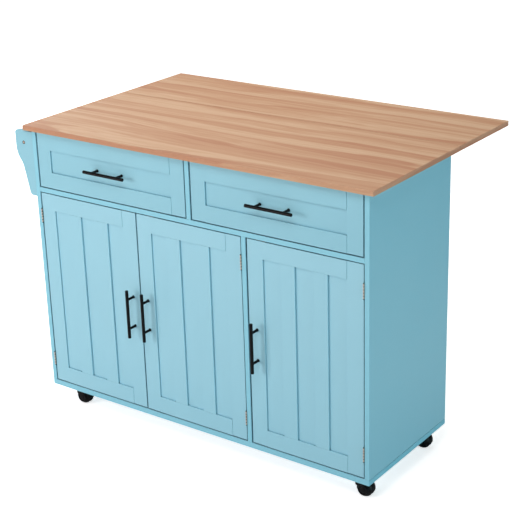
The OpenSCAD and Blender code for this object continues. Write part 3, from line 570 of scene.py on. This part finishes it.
# %% Worktop and drop leaf
OUTER_CORNER, SEAM_CORNER, TOP_RIM, FACING_X = 4, 0.6, 0.8, 0.9
top_low, top_high = box_mm("worktop")
leaf_low, leaf_high = box_mm("drop_leaf")
top_outline = soften(rectangle(top_low, top_high),
                     [OUTER_CORNER, OUTER_CORNER, SEAM_CORNER, SEAM_CORNER], 8)
leaf_outline = soften(rectangle(leaf_low, leaf_high),
                      [SEAM_CORNER, SEAM_CORNER, OUTER_CORNER, OUTER_CORNER], 8)
worktop = piece("worktop_slab", [sheet(top_outline, top_low[2], top_high[2], TOP_RIM)], top_decor,
                "cabinet", ["worktop"])
leaf = piece("drop_leaf_slab", [sheet(leaf_outline, leaf_low[2], leaf_high[2], TOP_RIM)], leaf_decor,
             "leaf", ["drop_leaf"])
for slab in (worktop, leaf):
    slab.data.materials.append(edge_decor)
    normals = np.zeros(3 * len(slab.data.polygons))
    slab.data.polygons.foreach_get("normal", normals)
    slab.data.polygons.foreach_set("material_index", (abs(normals[::3]) > FACING_X).astype(np.int32))
print("worktop", (top_high - top_low).round(1), "leaf", (leaf_high - leaf_low).round(1))

# %% [markdown]
# ## Cabinet boards
#
# A sawn board never has a knife-sharp edge: it is broken with abrasive paper before painting,
# and that tiny round is what draws a light line along it. Boards without holes are made anew
# with such edges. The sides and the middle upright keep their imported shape, because that has
# the rows of shelf-pin holes. The base board gets a small rebate under each side, which shows as
# the joint line low on the ends of the cabinet.

# %% Boards without holes
SHADOW_GAP = 1.2
TONGUE_IN = np.array([SHADOW_GAP, 0.4, 0])
PLAIN_BOARDS = ["bottom_board", "back_panel", "drawer_deck", "drawer_divider", "left_shelf",
                "right_shelf"]
for name in PLAIN_BOARDS:
    low, high = box_mm(name)
    shells = [board(low, high)]
    if name == "bottom_board":
        shells = [board(low, high - [0, 0, SHADOW_GAP]), board(low + SHADOW_GAP, high - TONGUE_IN)]
    piece("painted_" + name, shells, blue_lacquer, "cabinet", [name])
print("plain boards:", len(PLAIN_BOARDS))

# %% [markdown]
# The edge tape is a strip 0.4 mm thick on the front edge of each board, and on both ends of the
# base board. Where two strips meet, the hair-thin gap between them is the joint that shows at
# every corner of the cabinet front.

# %% Edge tape on the front edges
TAPE, TAPE_INTO, TAPE_RIM, END_RIM, JOINT_GAP, END_START = 0.4, 0.8, 0.35, 0.15, 0.3, 1
tapes = []
for name in ["bottom_board", "drawer_deck", "drawer_divider", "door_divider", "left_side", "right_side"]:
    low, high = box_mm(name)
    front = cabinet_low[1]
    tapes.append(board([low[0] + JOINT_GAP / 2, front - TAPE, low[2] + JOINT_GAP / 2],
                       [high[0] - JOINT_GAP / 2, front + TAPE_INTO, high[2] - JOINT_GAP / 2], TAPE_RIM))
base_low, base_high = box_mm("bottom_board")
for x in (base_low[0], base_high[0]):
    tapes.append(board([x - TAPE / 2, base_low[1] + END_START, base_low[2] + JOINT_GAP],
                       [x + TAPE / 2, base_high[1], base_high[2] - SHADOW_GAP - JOINT_GAP], END_RIM))
piece("edge_tapes", tapes, edge_tape, "cabinet")
print("edge tapes:", len(tapes))

# %% [markdown]
# ## Doors and drawer fronts
#
# Each door is a thin panel with strips glued on: two stiles, two rails between them and two
# battens. The rails stand a millimetre proud of the stiles, so every joint shows as a fine
# step. Making each strip a board of its own gives those joints for nothing, where one solid
# frame would have to be scored.

# %% Strips on the fronts
STILE, BATTEN, DRAWER_STRIP, RAIL_STEP = 53, 47, 51, 1
STRIP_DEPTH, PANEL_DEPTH = 4, 11


def frame_strips(low, high, width):
    """Four boards: stiles over the full height, set back by the step, and rails between them."""
    back = low[1] + RAIL_STEP + STRIP_DEPTH
    shells = []
    for x in (low[0], high[0] - width):
        shells.append(board([x, low[1] + RAIL_STEP, low[2]], [x + width, back, high[2]]))
    for z in (low[2], high[2] - width):
        shells.append(board([low[0] + width, low[1], z], [high[0] - width, back, z + width]))
    return shells


def battens(low, high):
    """Two boards that divide the window of a door into three equal recesses."""
    recess = (high[0] - low[0] - 2 * STILE - 2 * BATTEN) / 3
    back = low[1] + RAIL_STEP + STRIP_DEPTH
    starts = [low[0] + STILE + recess, low[0] + STILE + 2 * recess + BATTEN]
    return [board([x, low[1], low[2] + STILE], [x + BATTEN, back, high[2] - STILE]) for x in starts]


for side in ("left", "middle", "right"):
    low, high = box_mm(side + "_door_frame")
    strips = frame_strips(low, high, STILE) + battens(low, high)
    piece(side + "_door_strips", strips, blue_lacquer, side + "_door", [side + "_door_frame"])
    piece(side + "_door_board", [board(*box_mm(side + "_door_panel"))], blue_lacquer, side + "_door",
          [side + "_door_panel"])
for side in ("left", "right"):
    low, high = box_mm(side + "_drawer_front")
    panel = board([low[0], high[1] - PANEL_DEPTH, low[2]], high)
    # The drawer faces take the darker copy of the lacquer, as painted shade
    piece(side + "_drawer_face", frame_strips(low, high, DRAWER_STRIP) + [panel], shaded_lacquer_copy,
          side + "_drawer", [side + "_drawer_front"])
print("door", (box_mm("left_door_frame")[1] - box_mm("left_door_frame")[0]).round(1))

# %% [markdown]
# ## Drawer boxes
#
# Behind each front is a white-faced box: two sides and a back, with the bottom held in a groove.
# One solid tray would show no joints at its corners, so each wall is a board of its own.

# %% Drawer boxes and bottoms
BOX_WALL = 12
for side in ("left", "right"):
    low, high = box_mm(side + "_drawer_box")
    inner_left, inner_right = low[0] + BOX_WALL, high[0] - BOX_WALL
    walls = [board(low, [inner_left, high[1], high[2]]), board([inner_right, low[1], low[2]], high),
             board([inner_left, high[1] - BOX_WALL, low[2]], [inner_right, high[1], high[2]])]
    piece(side + "_drawer_walls", walls, faced_board, side + "_drawer", [side + "_drawer_box"])
    piece(side + "_drawer_floor", [board(*box_mm(side + "_drawer_bottom"), edge=0.4)], faced_board,
          side + "_drawer", [side + "_drawer_bottom"])
print("drawer box", (high - low).round(1))

# %% [markdown]
# ## Bar handles
#
# A steel bar on two posts, coated black. Both are turned parts, so both are surfaces of
# revolution: the bar has rounded ends, and each post flares a little where it meets the front.
# The machine screws that hold them come through from behind.

# %% Bar handles
BAR_R, BAR_L, POST_SPACING, POST_R, STAND_OFF = 5, 156, 96, 4, 30
FLARE_R, FLARE_START, FLARE_END, HEAD_SINK, BAR_RIM = 5, 4, 1.2, 2, 1.3
bar_profile = round_bar(BAR_R, BAR_L / 2, BAR_RIM)
post_profile = soften([(0, 0), (POST_R, 0), (POST_R, STAND_OFF - FLARE_START),
                       (FLARE_R, STAND_OFF - FLARE_END), (FLARE_R, STAND_OFF), (0, STAND_OFF)],
                      0.8, closed=False)


def bar_handle(name, along, body):
    (low, high), middle = box_mm(name), middle_mm(name)
    bar = np.array([middle[0], low[1] + BAR_R, middle[2]])
    shift = np.array([POST_SPACING / 2, 0, 0]) if along == "x" else np.array([0, 0, POST_SPACING / 2])
    shells = [lathe(bar_profile, bar, along)]
    for way in (-1, 1):
        post = bar + way * shift
        shells.append(lathe(post_profile, post, "y", 28))
        shells.append(screw([post[0], high[1] - HEAD_SINK, post[2]], "y", 1, "handle"))
    piece(name.replace("handle", "pull"), shells, black_powder, body, [name])


for side in ("left", "right"):
    bar_handle(side + "_drawer_handle", "x", side + "_drawer")
for side in ("left", "middle", "right"):
    bar_handle(side + "_door_handle", "z", side + "_door")
print("handle bar", BAR_L, "posts", POST_SPACING, "apart")

# %% [markdown]
# ## Door hinges
#
# Small butt hinges sit in the gap beside each door, and only their five knuckles show when it is
# shut. A knuckle is rolled from the leaf, so its rims are round, and the pin shows between two of
# them, drawn dark as painted shade: the hinge reads as a row of dots. Each knuckle is a turned tube
# on a thin leaf; one half of the hinge has knuckles 1, 3 and 5, the other has 2 and 4. The pins get
# rounded tips, and the leaves get the countersunk screws that show on an open door.

# %% Hinge leaves, knuckles, pins and screws
HINGE_INSET, HINGE_H, KNUCKLES, PIN_R, TIP_R, PIN_PLAY = 75, 45, 5, 1.1, 1.9, 0.08
TIP_WALL, TIP_TOP, TAB_INTO, TAB_OVER = 1.2, 1.6, 0.6, 0.5
BARREL_R, BARREL_RIM, BORE_RIM, BARREL_GAP, WING_START, WING_W = 2.4, 1.5, 0.1, 3, 6, 16
LEAF_FACE, LEAF_BACK, SCREW_Y, SCREW_Z = 0.5, 1.5, 9.8, 12
STRIKE_HALF, STRIKE_H, STRIKE_T, CATCH_IN = 18, 14, 1.2, 45
door_low, door_high = box_mm("left_door_frame")
hinge_heights = [door_low[2] + HINGE_INSET, door_high[2] - HINGE_INSET]
pin_half, knuckle = HINGE_H / 2, HINGE_H / KNUCKLES
tip = [(PIN_R, pin_half), (TIP_R, pin_half), (TIP_R, pin_half + TIP_WALL), (0, pin_half + TIP_TOP)]
pin_profile = soften([(r, -z) for r, z in tip[::-1]] + tip, 0.5, closed=False)
half = (knuckle - BARREL_GAP) / 2
barrel_loop = tube_loop(rectangle((PIN_R + PIN_PLAY, -half), (BARREL_R, half)),
                        [BORE_RIM, BARREL_RIM, BARREL_RIM, BORE_RIM])


def hinge_half(x, y, way, first):
    """Leaf and every second knuckle of both hinges of a door; way is the side that the leaf is on."""
    near, far = sorted([x + way * LEAF_FACE, x + way * LEAF_BACK])
    shells = []
    for z in hinge_heights:
        shells.append(board([near, y + WING_START, z - pin_half], [far, y + WING_W, z + pin_half], 0.2))
        for n in range(first, KNUCKLES, 2):
            middle = z - pin_half + (n + 0.5) * knuckle
            shells.append(lathe(barrel_loop, [x, y, middle], "z", 24))
            shells.append(board([near, y + BARREL_R - TAB_INTO, middle - half],
                                [far, y + WING_START + TAB_OVER, middle + half], 0.1))
    return shells


pins, plate_screws, cabinet_leaves = [], [], []
for side, way in (("left", 1), ("middle", -1), ("right", -1)):
    x, y, _ = pivot_mm(side + "_door_swing")
    pins += [lathe(pin_profile, [x, y, z], "z", 20) for z in hinge_heights]
    cabinet_leaves += hinge_half(x, y, -way, 0)
    strike_low, strike_high = box_mm(side + "_door_fittings")
    strike_x = box_mm(side + "_door_frame")[way > 0][0] - way * CATCH_IN
    strike = board([strike_x - STRIKE_HALF, door_high[1], strike_high[2] - STRIKE_H],
                   [strike_x + STRIKE_HALF, door_high[1] + STRIKE_T, strike_high[2]], 0.3)
    piece(side + "_door_leaves_and_strike", hinge_half(x, y, way, 1) + [strike], satin_nickel,
          side + "_door", [side + "_door_fittings"])
    spots = [z + dz for z in hinge_heights for dz in (-SCREW_Z, SCREW_Z)]
    plate_screws += [screw([x - way * LEAF_FACE, y + SCREW_Y, z], "x", way, "hinge") for z in spots]
    door_screws = [screw([x + way * LEAF_FACE, y + SCREW_Y, z], "x", -way, "hinge") for z in spots]
    piece(side + "_door_hinge_screws", door_screws, satin_nickel, side + "_door")
piece("cabinet_hinge_leaves", cabinet_leaves, satin_nickel, "cabinet", ["door_hinge_plates"])
# The pins are drawn dark, as painted shade between the knuckles
piece("hinge_pins_with_tips", pins, painted_shade_steel, "cabinet", ["door_hinge_pins"])
piece("cabinet_hinge_screws", plate_screws, satin_nickel, "cabinet")
print("hinges:", len(pins), "strike at", strike_low.round(1), strike_high.round(1))

# %% [markdown]
# ## Under the leaf
#
# Three long strip hinges carry the leaf, and two folding braces hold it up. They are packed in
# their true shape, so only what is missing is made here: their screws, and the domed rivets that
# the braces turn on, all lathed from one short profile.

# %% Screws under the leaf and behind the cabinet
leaf_axis = pivot_mm("leaf_fold")
strip_low, strip_high = box_mm("fixed_hinge_strips")
STRIP_L, STRIP_T, STRIP_OUT, STRIP_HOLES = 200, 1.2, 8, (20, 73, 127, 180)
strip_starts = [strip_low[0], (strip_low[0] + strip_high[0] - STRIP_L) / 2, strip_high[0] - STRIP_L]
strip_face = top_low[2] - STRIP_T
for way, body, name in ((-1, "cabinet", "worktop_strip_screws"), (1, "leaf", "leaf_strip_screws")):
    heads = [screw([x + along, leaf_axis[1] + way * STRIP_OUT, strip_face], "z", -1, "strip")
             for x in strip_starts for along in STRIP_HOLES]
    piece(name, heads, zinc_plate, body)
CHANNEL_T, CHANNEL_HOLES, PLATE_FACE, PLATE_SPREAD, EAR_OUT = 1.5, (136, 205, 276), 1.5, 22, 3.4
RIVET = [(0, 0), (4.2, 0), (4.0, 1.0), (2.4, 1.7), (0, 1.9)]
back_face = cabinet_high[1]
foot_heads, channel_heads = [], []
for side in ("left", "right"):
    x, y, z = pivot_mm(side + "_brace_fold")
    foot_heads += [screw([x, back_face + PLATE_FACE, z + dz], "y", 1, "brace plate")
                   for dz in (-PLATE_SPREAD, PLATE_SPREAD)]
    for way in (-1, 1):
        ear = x + way * EAR_OUT
        dome = [(r, way * h) for r, h in soften(RIVET, 0.5, closed=False)]
        foot_heads.append(lathe(dome, [ear, y, z], "x", 24))
    channel_heads += [screw([x, leaf_axis[1] + s, top_low[2] - CHANNEL_T], "z", -1, "channel")
                      for s in CHANNEL_HOLES]
piece("brace_plate_screws", foot_heads, zinc_plate, "cabinet")
piece("brace_channel_screws", channel_heads, zinc_plate, "leaf")
print("strip hinges:", len(strip_starts), "screws and rivets:", len(foot_heads + channel_heads))

# %% [markdown]
# ## Screws in the back and the base
#
# The back panel is screwed to the deck and the uprights, and the sides stand on the base board,
# which is screwed to them from below. None of this shows in front, but the island is moved
# about on its casters and is seen from all round. Dark dots would do from far off; real heads
# cost one line, because the screw is a function.

# %% Screws of the case
DECK_IN, DIVIDER_UP, DIVIDER_DOWN, BASE_IN, SIDE_MIDDLE = 60, 90, 120, 120, 7.5
deck_low, deck_high = box_mm("drawer_deck")
divider_low, divider_high = box_mm("door_divider")
deck_middle, divider, upper = map(middle_mm, ("drawer_deck", "door_divider", "drawer_divider"))
places = [(x, deck_middle[2]) for x in np.linspace(deck_low[0] + DECK_IN, deck_high[0] - DECK_IN, 6)]
places += [(divider[0], z)
           for z in np.linspace(divider_low[2] + DIVIDER_UP, divider_high[2] - DIVIDER_DOWN, 3)]
places += [(upper[0], upper[2])]
back_heads = [screw([x, back_face, z], "y", 1, "case") for x, z in places]
base_face = box_mm("bottom_board")[0][2]
board_x = [cabinet_low[0] + SIDE_MIDDLE, divider[0], cabinet_high[0] - SIDE_MIDDLE]
board_y = np.linspace(cabinet_low[1] + BASE_IN, cabinet_high[1] - BASE_IN, 3)
base_heads = [screw([x, y, base_face], "z", -1, "base") for x in board_x for y in board_y]
piece("back_and_base_screws", back_heads + base_heads, zinc_plate, "cabinet")
print("case screws:", len(back_heads) + len(base_heads))

# %% [markdown]
# ## Towel rail
#
# Two shaped brackets carry a wooden rod. Their outline is a round top corner, a bulging
# shoulder, a hollow waist and a round toe: arcs that run into each other, joined by straight
# lines. It is drawn once as an outline, and the rim is rounded as on the worktop. The screw that
# holds the rod sits in a cup washer, a turned ring with a sloping face, drawn dark as painted shade.

# %% Towel brackets, rod and screws
REACH, SHOULDER_DROP, SHOULDER_R, WAIST_R = 73, 53, 70, 60
SHOULDER_TURN, TOE_SLOPE, CORNER_R, BRACKET_RIM, ROD_RIM, CUP_IN = 38, 13, 11, 1.4, 0.8, 0.5
CUP = [(3.4, -0.6), (5.8, -0.6), (5.8, 0.5), (3.4, 1.1)]


def arc(centre, radius, start, stop, steps=14):
    """Points centre + radius (cos a, sin a), for the angle a in degrees from start to stop."""
    a = np.radians(np.linspace(start, stop, steps))
    return np.column_stack([centre[0] + radius * np.cos(a), centre[1] + radius * np.sin(a)])


def aim(degrees):
    return np.array([np.cos(np.radians(degrees)), np.sin(np.radians(degrees))])


def bracket_outline(wall_x, top, bottom):
    """Round corner, shoulder, waist, straight lean-in and toe, as points (x, z)."""
    shoulder = np.array([wall_x - REACH + SHOULDER_R, top - SHOULDER_DROP])
    waist = shoulder - (SHOULDER_R + WAIST_R) * aim(SHOULDER_TURN)
    waist_end = waist + WAIST_R * aim(TOE_SLOPE)
    foot_z = bottom + CORNER_R * (1 - np.sin(np.radians(TOE_SLOPE)))
    foot = waist_end + (waist_end[1] - foot_z) * np.array([np.tan(np.radians(TOE_SLOPE)), -1])
    toe = foot + CORNER_R * aim(TOE_SLOPE)
    return np.concatenate([
        [[wall_x, top]],
        arc([wall_x - REACH + CORNER_R, top - CORNER_R], CORNER_R, 90, 180),
        arc(shoulder, SHOULDER_R, 180, 180 + SHOULDER_TURN)[1:],
        arc(waist, WAIST_R, SHOULDER_TURN, TOE_SLOPE)[1:],
        arc(toe, CORNER_R, 180 + TOE_SLOPE, 270),
        [[wall_x, bottom]]])


for name in ("front_towel_plate", "rear_towel_plate"):
    low, high = box_mm(name)
    outline = bracket_outline(high[0], high[2], low[2])
    # The brackets take the darker copy of the lacquer, as painted shade
    piece(name.replace("plate", "bracket"), [sheet(outline[:, ::-1], low[1], high[1], BRACKET_RIM, "y")],
          shaded_lacquer_copy, "cabinet", [name])
rod_low, rod_high = box_mm("towel_rod")
rod_middle = middle_mm("towel_rod")
_, rod_half, rod_r = (rod_high - rod_low) / 2
piece("towel_rod_turned", [lathe(round_bar(rod_r, rod_half, ROD_RIM), rod_middle, "y")], rod_wood,
      "cabinet", ["towel_rod"])
ends_low, ends_high = box_mm("towel_rod_screws")
rod_screws, cups = [], []
cup_loop = tube_loop(CUP, [0.1, 0.1, 0.5, 0.3])
for y, way in ((ends_low[1], -1), (ends_high[1], 1)):
    rod_screws.append(screw([rod_middle[0], y, rod_middle[2]], "y", way, "rod"))
    cups.append(lathe(cup_loop * [1, way], [rod_middle[0], y - way * CUP_IN, rod_middle[2]], "y", 32))
piece("towel_rod_screw_heads", rod_screws, aged_screw, "cabinet", ["towel_rod_screws"])
# The cup washers are drawn dark, as painted shade round the screw heads
piece("towel_rod_cup_washers", cups, painted_shade_steel, "cabinet")
print("towel rod length", (2 * rod_half).round(1))

# %% [markdown]
# ## Door catches
#
# Under the deck a white magnetic catch waits for each door: a moulded body with two steel lips
# that the strike on the door closes against. A moulding is soft at its edges, so a board with a
# wide rounding is enough, and the lips are thin boards in its face.

# %% Magnetic catches
(catch_low, catch_high), catch_middle = box_mm("door_catches"), middle_mm("door_catches")
CATCH_W, FACE_IN, CATCH_SCREW = 46, 0.5, 18.5
LIP_HALF, LIP_T, LIP_UP, LIP_DOWN, LIP_BACK = 14, 1.6, 2.4, 4, 4
door_x = {side: box_mm(side + "_door_frame") for side in ("left", "middle", "right")}
catch_x = [door_x["left"][1][0] - CATCH_IN, door_x["middle"][0][0] + CATCH_IN,
           door_x["right"][0][0] + CATCH_IN]
bodies, lips = [], []
for x in catch_x:
    bodies.append(board([x - CATCH_W / 2, catch_low[1] + FACE_IN, catch_low[2]],
                        [x + CATCH_W / 2, catch_high[1], catch_high[2]], 1.2))
    for z in (catch_low[2] + LIP_UP, catch_high[2] - LIP_DOWN):
        lips.append(board([x - LIP_HALF, catch_low[1], z],
                          [x + LIP_HALF, catch_high[1] - LIP_BACK, z + LIP_T], 0.2))
    lips += [screw([x + way * CATCH_SCREW, catch_low[1] + FACE_IN, catch_middle[2]], "y", -1, "catch")
             for way in (-1, 1)]
piece("catch_bodies", bodies, catch_abs, "cabinet", ["door_catches"])
piece("catch_lips", lips, zinc_plate, "cabinet")
print("catches:", len(bodies))

# %% [markdown]
# ## Casters
#
# Twin-wheel casters: two domed wheels on one axle under a moulded hood, which swivels on a pin.
# The wheels and the hood follow one ball, cut flat at the outer faces, so that a caster looks
# round from every side. Turned parts are lathed; the hood's shell is the same curve carried part
# of the way round the axle, which a sphere cut in half would only give with two booleans.

# %% Caster shapes
WHEEL_R, WHEEL_W, WEB, GAP, TREAD = 25, 16, 9, 0.6, 1
HUB_R, DISH, AXLE_R, AXLE_HALF = 8.2, 2, 3, 12
HOOD_CLEAR, HOOD_T, HOOD_HALF, HOOD_MIDDLE = 0.5, 0.9, 15.1, 0.5
HOOD_START, HOOD_STOP = -8.6, 188.6
wheel_start = WEB / 2 + GAP
hub_y = wheel_start + WHEEL_W
ball_r = np.hypot(WHEEL_R, wheel_start + TREAD)


def ball_curve(grow, start, stop, steps=16):
    """Side of a ball of radius R = ball_r + grow, as (sqrt(R^2 - y^2), y) for y from start to stop."""
    y = np.linspace(start, stop, steps)
    return np.column_stack([np.sqrt((ball_r + grow) ** 2 - y ** 2), y])


rim = ball_curve(0, wheel_start + TREAD, hub_y)
face_r = rim[-1, 0]
wheel_profile = np.concatenate([
    [[0, wheel_start], [WHEEL_R - 1, wheel_start], [WHEEL_R - 0.3, wheel_start + 0.3]], rim,
    soften([(face_r - 0.2, hub_y), (face_r - 1, hub_y - DISH), (HUB_R, hub_y - DISH),
            (HUB_R - 1, hub_y - 0.5), (0, hub_y - 0.2)], 0.4, 2, closed=False)[1:]])


def hood_section():
    """Closed loop (distance from the middle, radius): outer skin one way, inner skin back."""
    outer = ball_curve(HOOD_CLEAR + HOOD_T, HOOD_MIDDLE, HOOD_HALF)[:, ::-1]
    inner = ball_curve(HOOD_CLEAR, HOOD_MIDDLE, HOOD_HALF)[:, ::-1]
    half = np.concatenate([outer, inner[::-1]])
    return np.concatenate([half, half[::-1] * [-1, 1]])


def carried_round(section, centre, start, stop, steps=48):
    """Carries a loop (y, r) round the Y axis through centre: (r cos a, y, r sin a) for angle a."""
    a = np.radians(np.linspace(start, stop, steps))[:, None]
    y, r = section[:, 0][None, :], section[:, 1][None, :]
    grid = np.stack(np.broadcast_arrays(r * np.cos(a), y + 0 * a, r * np.sin(a)), axis=-1)
    return grid + np.array(centre, float)


# %% [markdown]
# The hood turns with the swivel and the wheels also roll, so they ride on bodies of their own,
# and the plates and pins stay with the cabinet. One loop makes all four at their packed pivots.

# %% Hood, wheels and plate of each caster
KING_R, PIN_LOW, PIN_TOP = 4, 42.5, 64.5
BOSS_R, BOSS_LOW, BOSS_HIGH = 12, 29, 63.9
# The groove round the boss, as distances in from its side and down from its top
GROOVE = [(0, 7), (1, 6), (1, 4.5), (0, 3.5)]
boss_profile = soften([(0, BOSS_LOW), (BOSS_R, BOSS_LOW)]
                      + [(BOSS_R - inwards, BOSS_HIGH - down) for inwards, down in GROOVE]
                      + [(BOSS_R, BOSS_HIGH), (0, BOSS_HIGH)], 0.6, closed=False)
WEB_OUT, WEB_IN, WEB_CUT = 1, 6, (205, 335)
web_rim = np.concatenate([arc([0, 0], WHEEL_R + HOOD_CLEAR + WEB_OUT, HOOD_START, HOOD_STOP, 40),
                          arc([0, 0], WHEEL_R - WEB_IN, *WEB_CUT, 24)])
PLATE_HALF, PLATE_T, PLATE_HOLE, PLATE_CORNER = 21, 2.5, 15, 5
plate_parts = []
for corner in ("front_left", "front_right", "back_left", "back_right"):
    swivel = pivot_mm(corner + "_swivel_turn") * [1, 1, 0]
    axle = pivot_mm(corner + "_wheel_roll")
    web = sheet((web_rim + [axle[0], axle[2]])[:, ::-1], axle[1] - WEB / 2, axle[1] + WEB / 2, 0.8, "y")
    hood = [carried_round(hood_section(), axle, HOOD_START, HOOD_STOP), web,
            lathe(boss_profile, swivel, "z", 36)]
    piece(corner + "_caster_hood", hood, hood_nylon, corner + "_swivel", [corner + "_hood"])
    wheels = [lathe(wheel_profile * [1, way], axle, "y", 56) for way in (-1, 1)]
    wheels.append(lathe(rectangle((0, -AXLE_HALF), (AXLE_R, AXLE_HALF)), axle, "y", 20))
    piece(corner + "_caster_wheels", wheels, wheel_plastic, corner + "_wheel_pair", [corner + "_wheels"])
    outline = soften(rectangle(swivel - PLATE_HALF, swivel + PLATE_HALF), PLATE_CORNER, 6)
    plate_parts.append(sheet(outline, base_face - PLATE_T, base_face, 0.5))
    plate_parts.append(lathe(rectangle((0, PIN_LOW), (KING_R, PIN_TOP)), swivel, "z", 20))
    plate_parts += [screw(swivel + [sx, sy, base_face - PLATE_T], "z", -1, "caster plate")
                    for sx in (-PLATE_HOLE, PLATE_HOLE) for sy in (-PLATE_HOLE, PLATE_HOLE)]
piece("caster_mounting_plates", plate_parts, hood_nylon, "cabinet", ["caster_plates"])
print("casters: 4, plates and screws:", len(plate_parts))

# %% [markdown]
# ## Camera
#
# The camera stands where the photographer stood: the straight edges of the cabinet fix its
# direction, its distance and how strongly the far side shrinks. It is rolled by less than two
# degrees. Its axes are built from three angles: the view direction first, then right and up.

# %% Camera at the photographed angle


def stand(made, right, up, back, place):
    """Adds a camera or lamp to the scene at a place, its three axes given as unit vectors."""
    bpy.context.scene.collection.objects.link(made)
    axes = np.column_stack([right, up, back, place])
    made.matrix_world = Matrix(np.vstack([axes, [0, 0, 0, 1]]).tolist())


CAMERA_PLACE = (2.35455, -3.20256, 2.03971)
AZIMUTH, ELEVATION, ROLL = np.radians([36.3363, 21.0777, -1.7369])
FOCAL_PX, FRAME_PX, SENSOR = 1354.8, 515, 36
forward = np.array([-np.sin(AZIMUTH) * np.cos(ELEVATION), np.cos(AZIMUTH) * np.cos(ELEVATION),
                    -np.sin(ELEVATION)])
level_right = unit(np.cross(forward, [0, 0, 1]))
level_up = np.cross(level_right, forward)
right = np.cos(ROLL) * level_right + np.sin(ROLL) * level_up
up = np.cos(ROLL) * level_up - np.sin(ROLL) * level_right
camera_data = bpy.data.cameras.new("photo_camera")
camera_data.sensor_width = SENSOR
camera_data.lens = FOCAL_PX / FRAME_PX * SENSOR
camera = bpy.data.objects.new("photo_camera", camera_data)
stand(camera, right, up, -forward, CAMERA_PLACE)
bpy.context.scene.camera = camera
print("lens", round(camera_data.lens, 2), "mm")

# %% [markdown]
# ## Studio
#
# Five soft square lamps. A low one on the left in front lights the fronts, a high one in front
# draws the shadow of the worktop, the handles and every strip downwards, and one above and behind
# lights the wood. The two at the sides are weaker, and the right one is cool, because the right
# side of the photographed island is in a bluer shade than its front. Each lamp was rendered alone
# once, and since light adds up, comparing the sum with the photographed tones gave their powers.
# Small trims of power and tint came after that.

# %% Lamps
STEEP = 0.9


def soft_lamp(name, place, target, size, power, tint):
    """A square lamp of that size in metres, turned so that its back axis points away from the target."""
    lamp = bpy.data.lights.new(name, "AREA")
    lamp.size, lamp.energy, lamp.color = size, power, linear(tint)[:3]
    made = bpy.data.objects.new(name, lamp)
    back = unit(np.array(place, float) - target)
    side = unit(np.cross([0, 1, 0] if abs(back[2]) > STEEP else [0, 0, 1], back))
    stand(made, side, np.cross(back, side), back, place)


soft_lamp("window_lamp", (-2.0, -3.5, 1.3), (0, 0, 0.3), 1.6, 81, "#fff1ed")
soft_lamp("front_lamp", (0.9, -2.5, 3.5), (0.1, -0.3, 0.5), 1.6, 62, "#fff1ed")
soft_lamp("top_lamp", (-0.75, 0.75, 3.75), (-0.1, 0, 0.9), 1.6, 73, "#fff5f0")
soft_lamp("side_lamp", (4.5, -0.6, 1.1), (0, 0, 0.4), 2.0, 58, "#cbfaff")
soft_lamp("rear_lamp", (-3.9, 2.0, 2.0), (0, 0, 0.9), 1.6, 42, "#ffffff")
print("lamps:", len(bpy.data.lights))

# %% [markdown]
# The floor is pale and keeps the shadow under the island. It shows a little brighter to the
# camera than it is, and further out it turns white, so that it runs into the white backdrop.

# %% World and floor
AMBIENT = 0.05
scene = bpy.context.scene
world = bpy.data.worlds.new("even_studio_light")
scene.world = world
world.use_nodes = True
sky = world.node_tree.nodes["Background"]
sky.inputs["Color"].default_value = (1, 1, 1, 1)
ray = add(world, "ShaderNodeLightPath")
join(world, sky, Strength=ramp(world, ray.outputs["Is Camera Ray"], FULL, (AMBIENT, 1.0), "LINEAR"))

# In metres: half the floor, and the distances between which its glow to the camera grows
FLOOR_HALF, SWEEP_SPAN, GLOW = 40, (1.4, 4.0), (0.7, 1.0)
floor_mesh = bpy.data.meshes.new("studio_floor")
corners = rectangle((-FLOOR_HALF, -FLOOR_HALF), (FLOOR_HALF, FLOOR_HALF))
floor_mesh.from_pydata([(x, y, 0) for x, y in corners], [], [(0, 1, 2, 3)])
floor = bpy.data.objects.new("studio_floor", floor_mesh)
scene.collection.objects.link(floor)
floor_paint, floor_shader, floor_place = start_material("pale_floor_paint", Roughness=0.9,
                                                        Base_Color=linear("#f6f6f6"))
floor_ray = add(floor_paint, "ShaderNodeLightPath")
distance = add(floor_paint, "ShaderNodeVectorMath", {"operation": "LENGTH"}, {0: floor_place})
sweep = ramp(floor_paint, distance.outputs["Value"], SWEEP_SPAN, GLOW)
floor_shader.inputs["Emission Color"].default_value = (1, 1, 1, 1)
join(floor_paint, floor_shader,
     Emission_Strength=calc(floor_paint, "MULTIPLY", floor_ray.outputs["Is Camera Ray"], sweep))
floor_mesh.materials.append(floor_paint)

scene.view_settings.view_transform = "Standard"
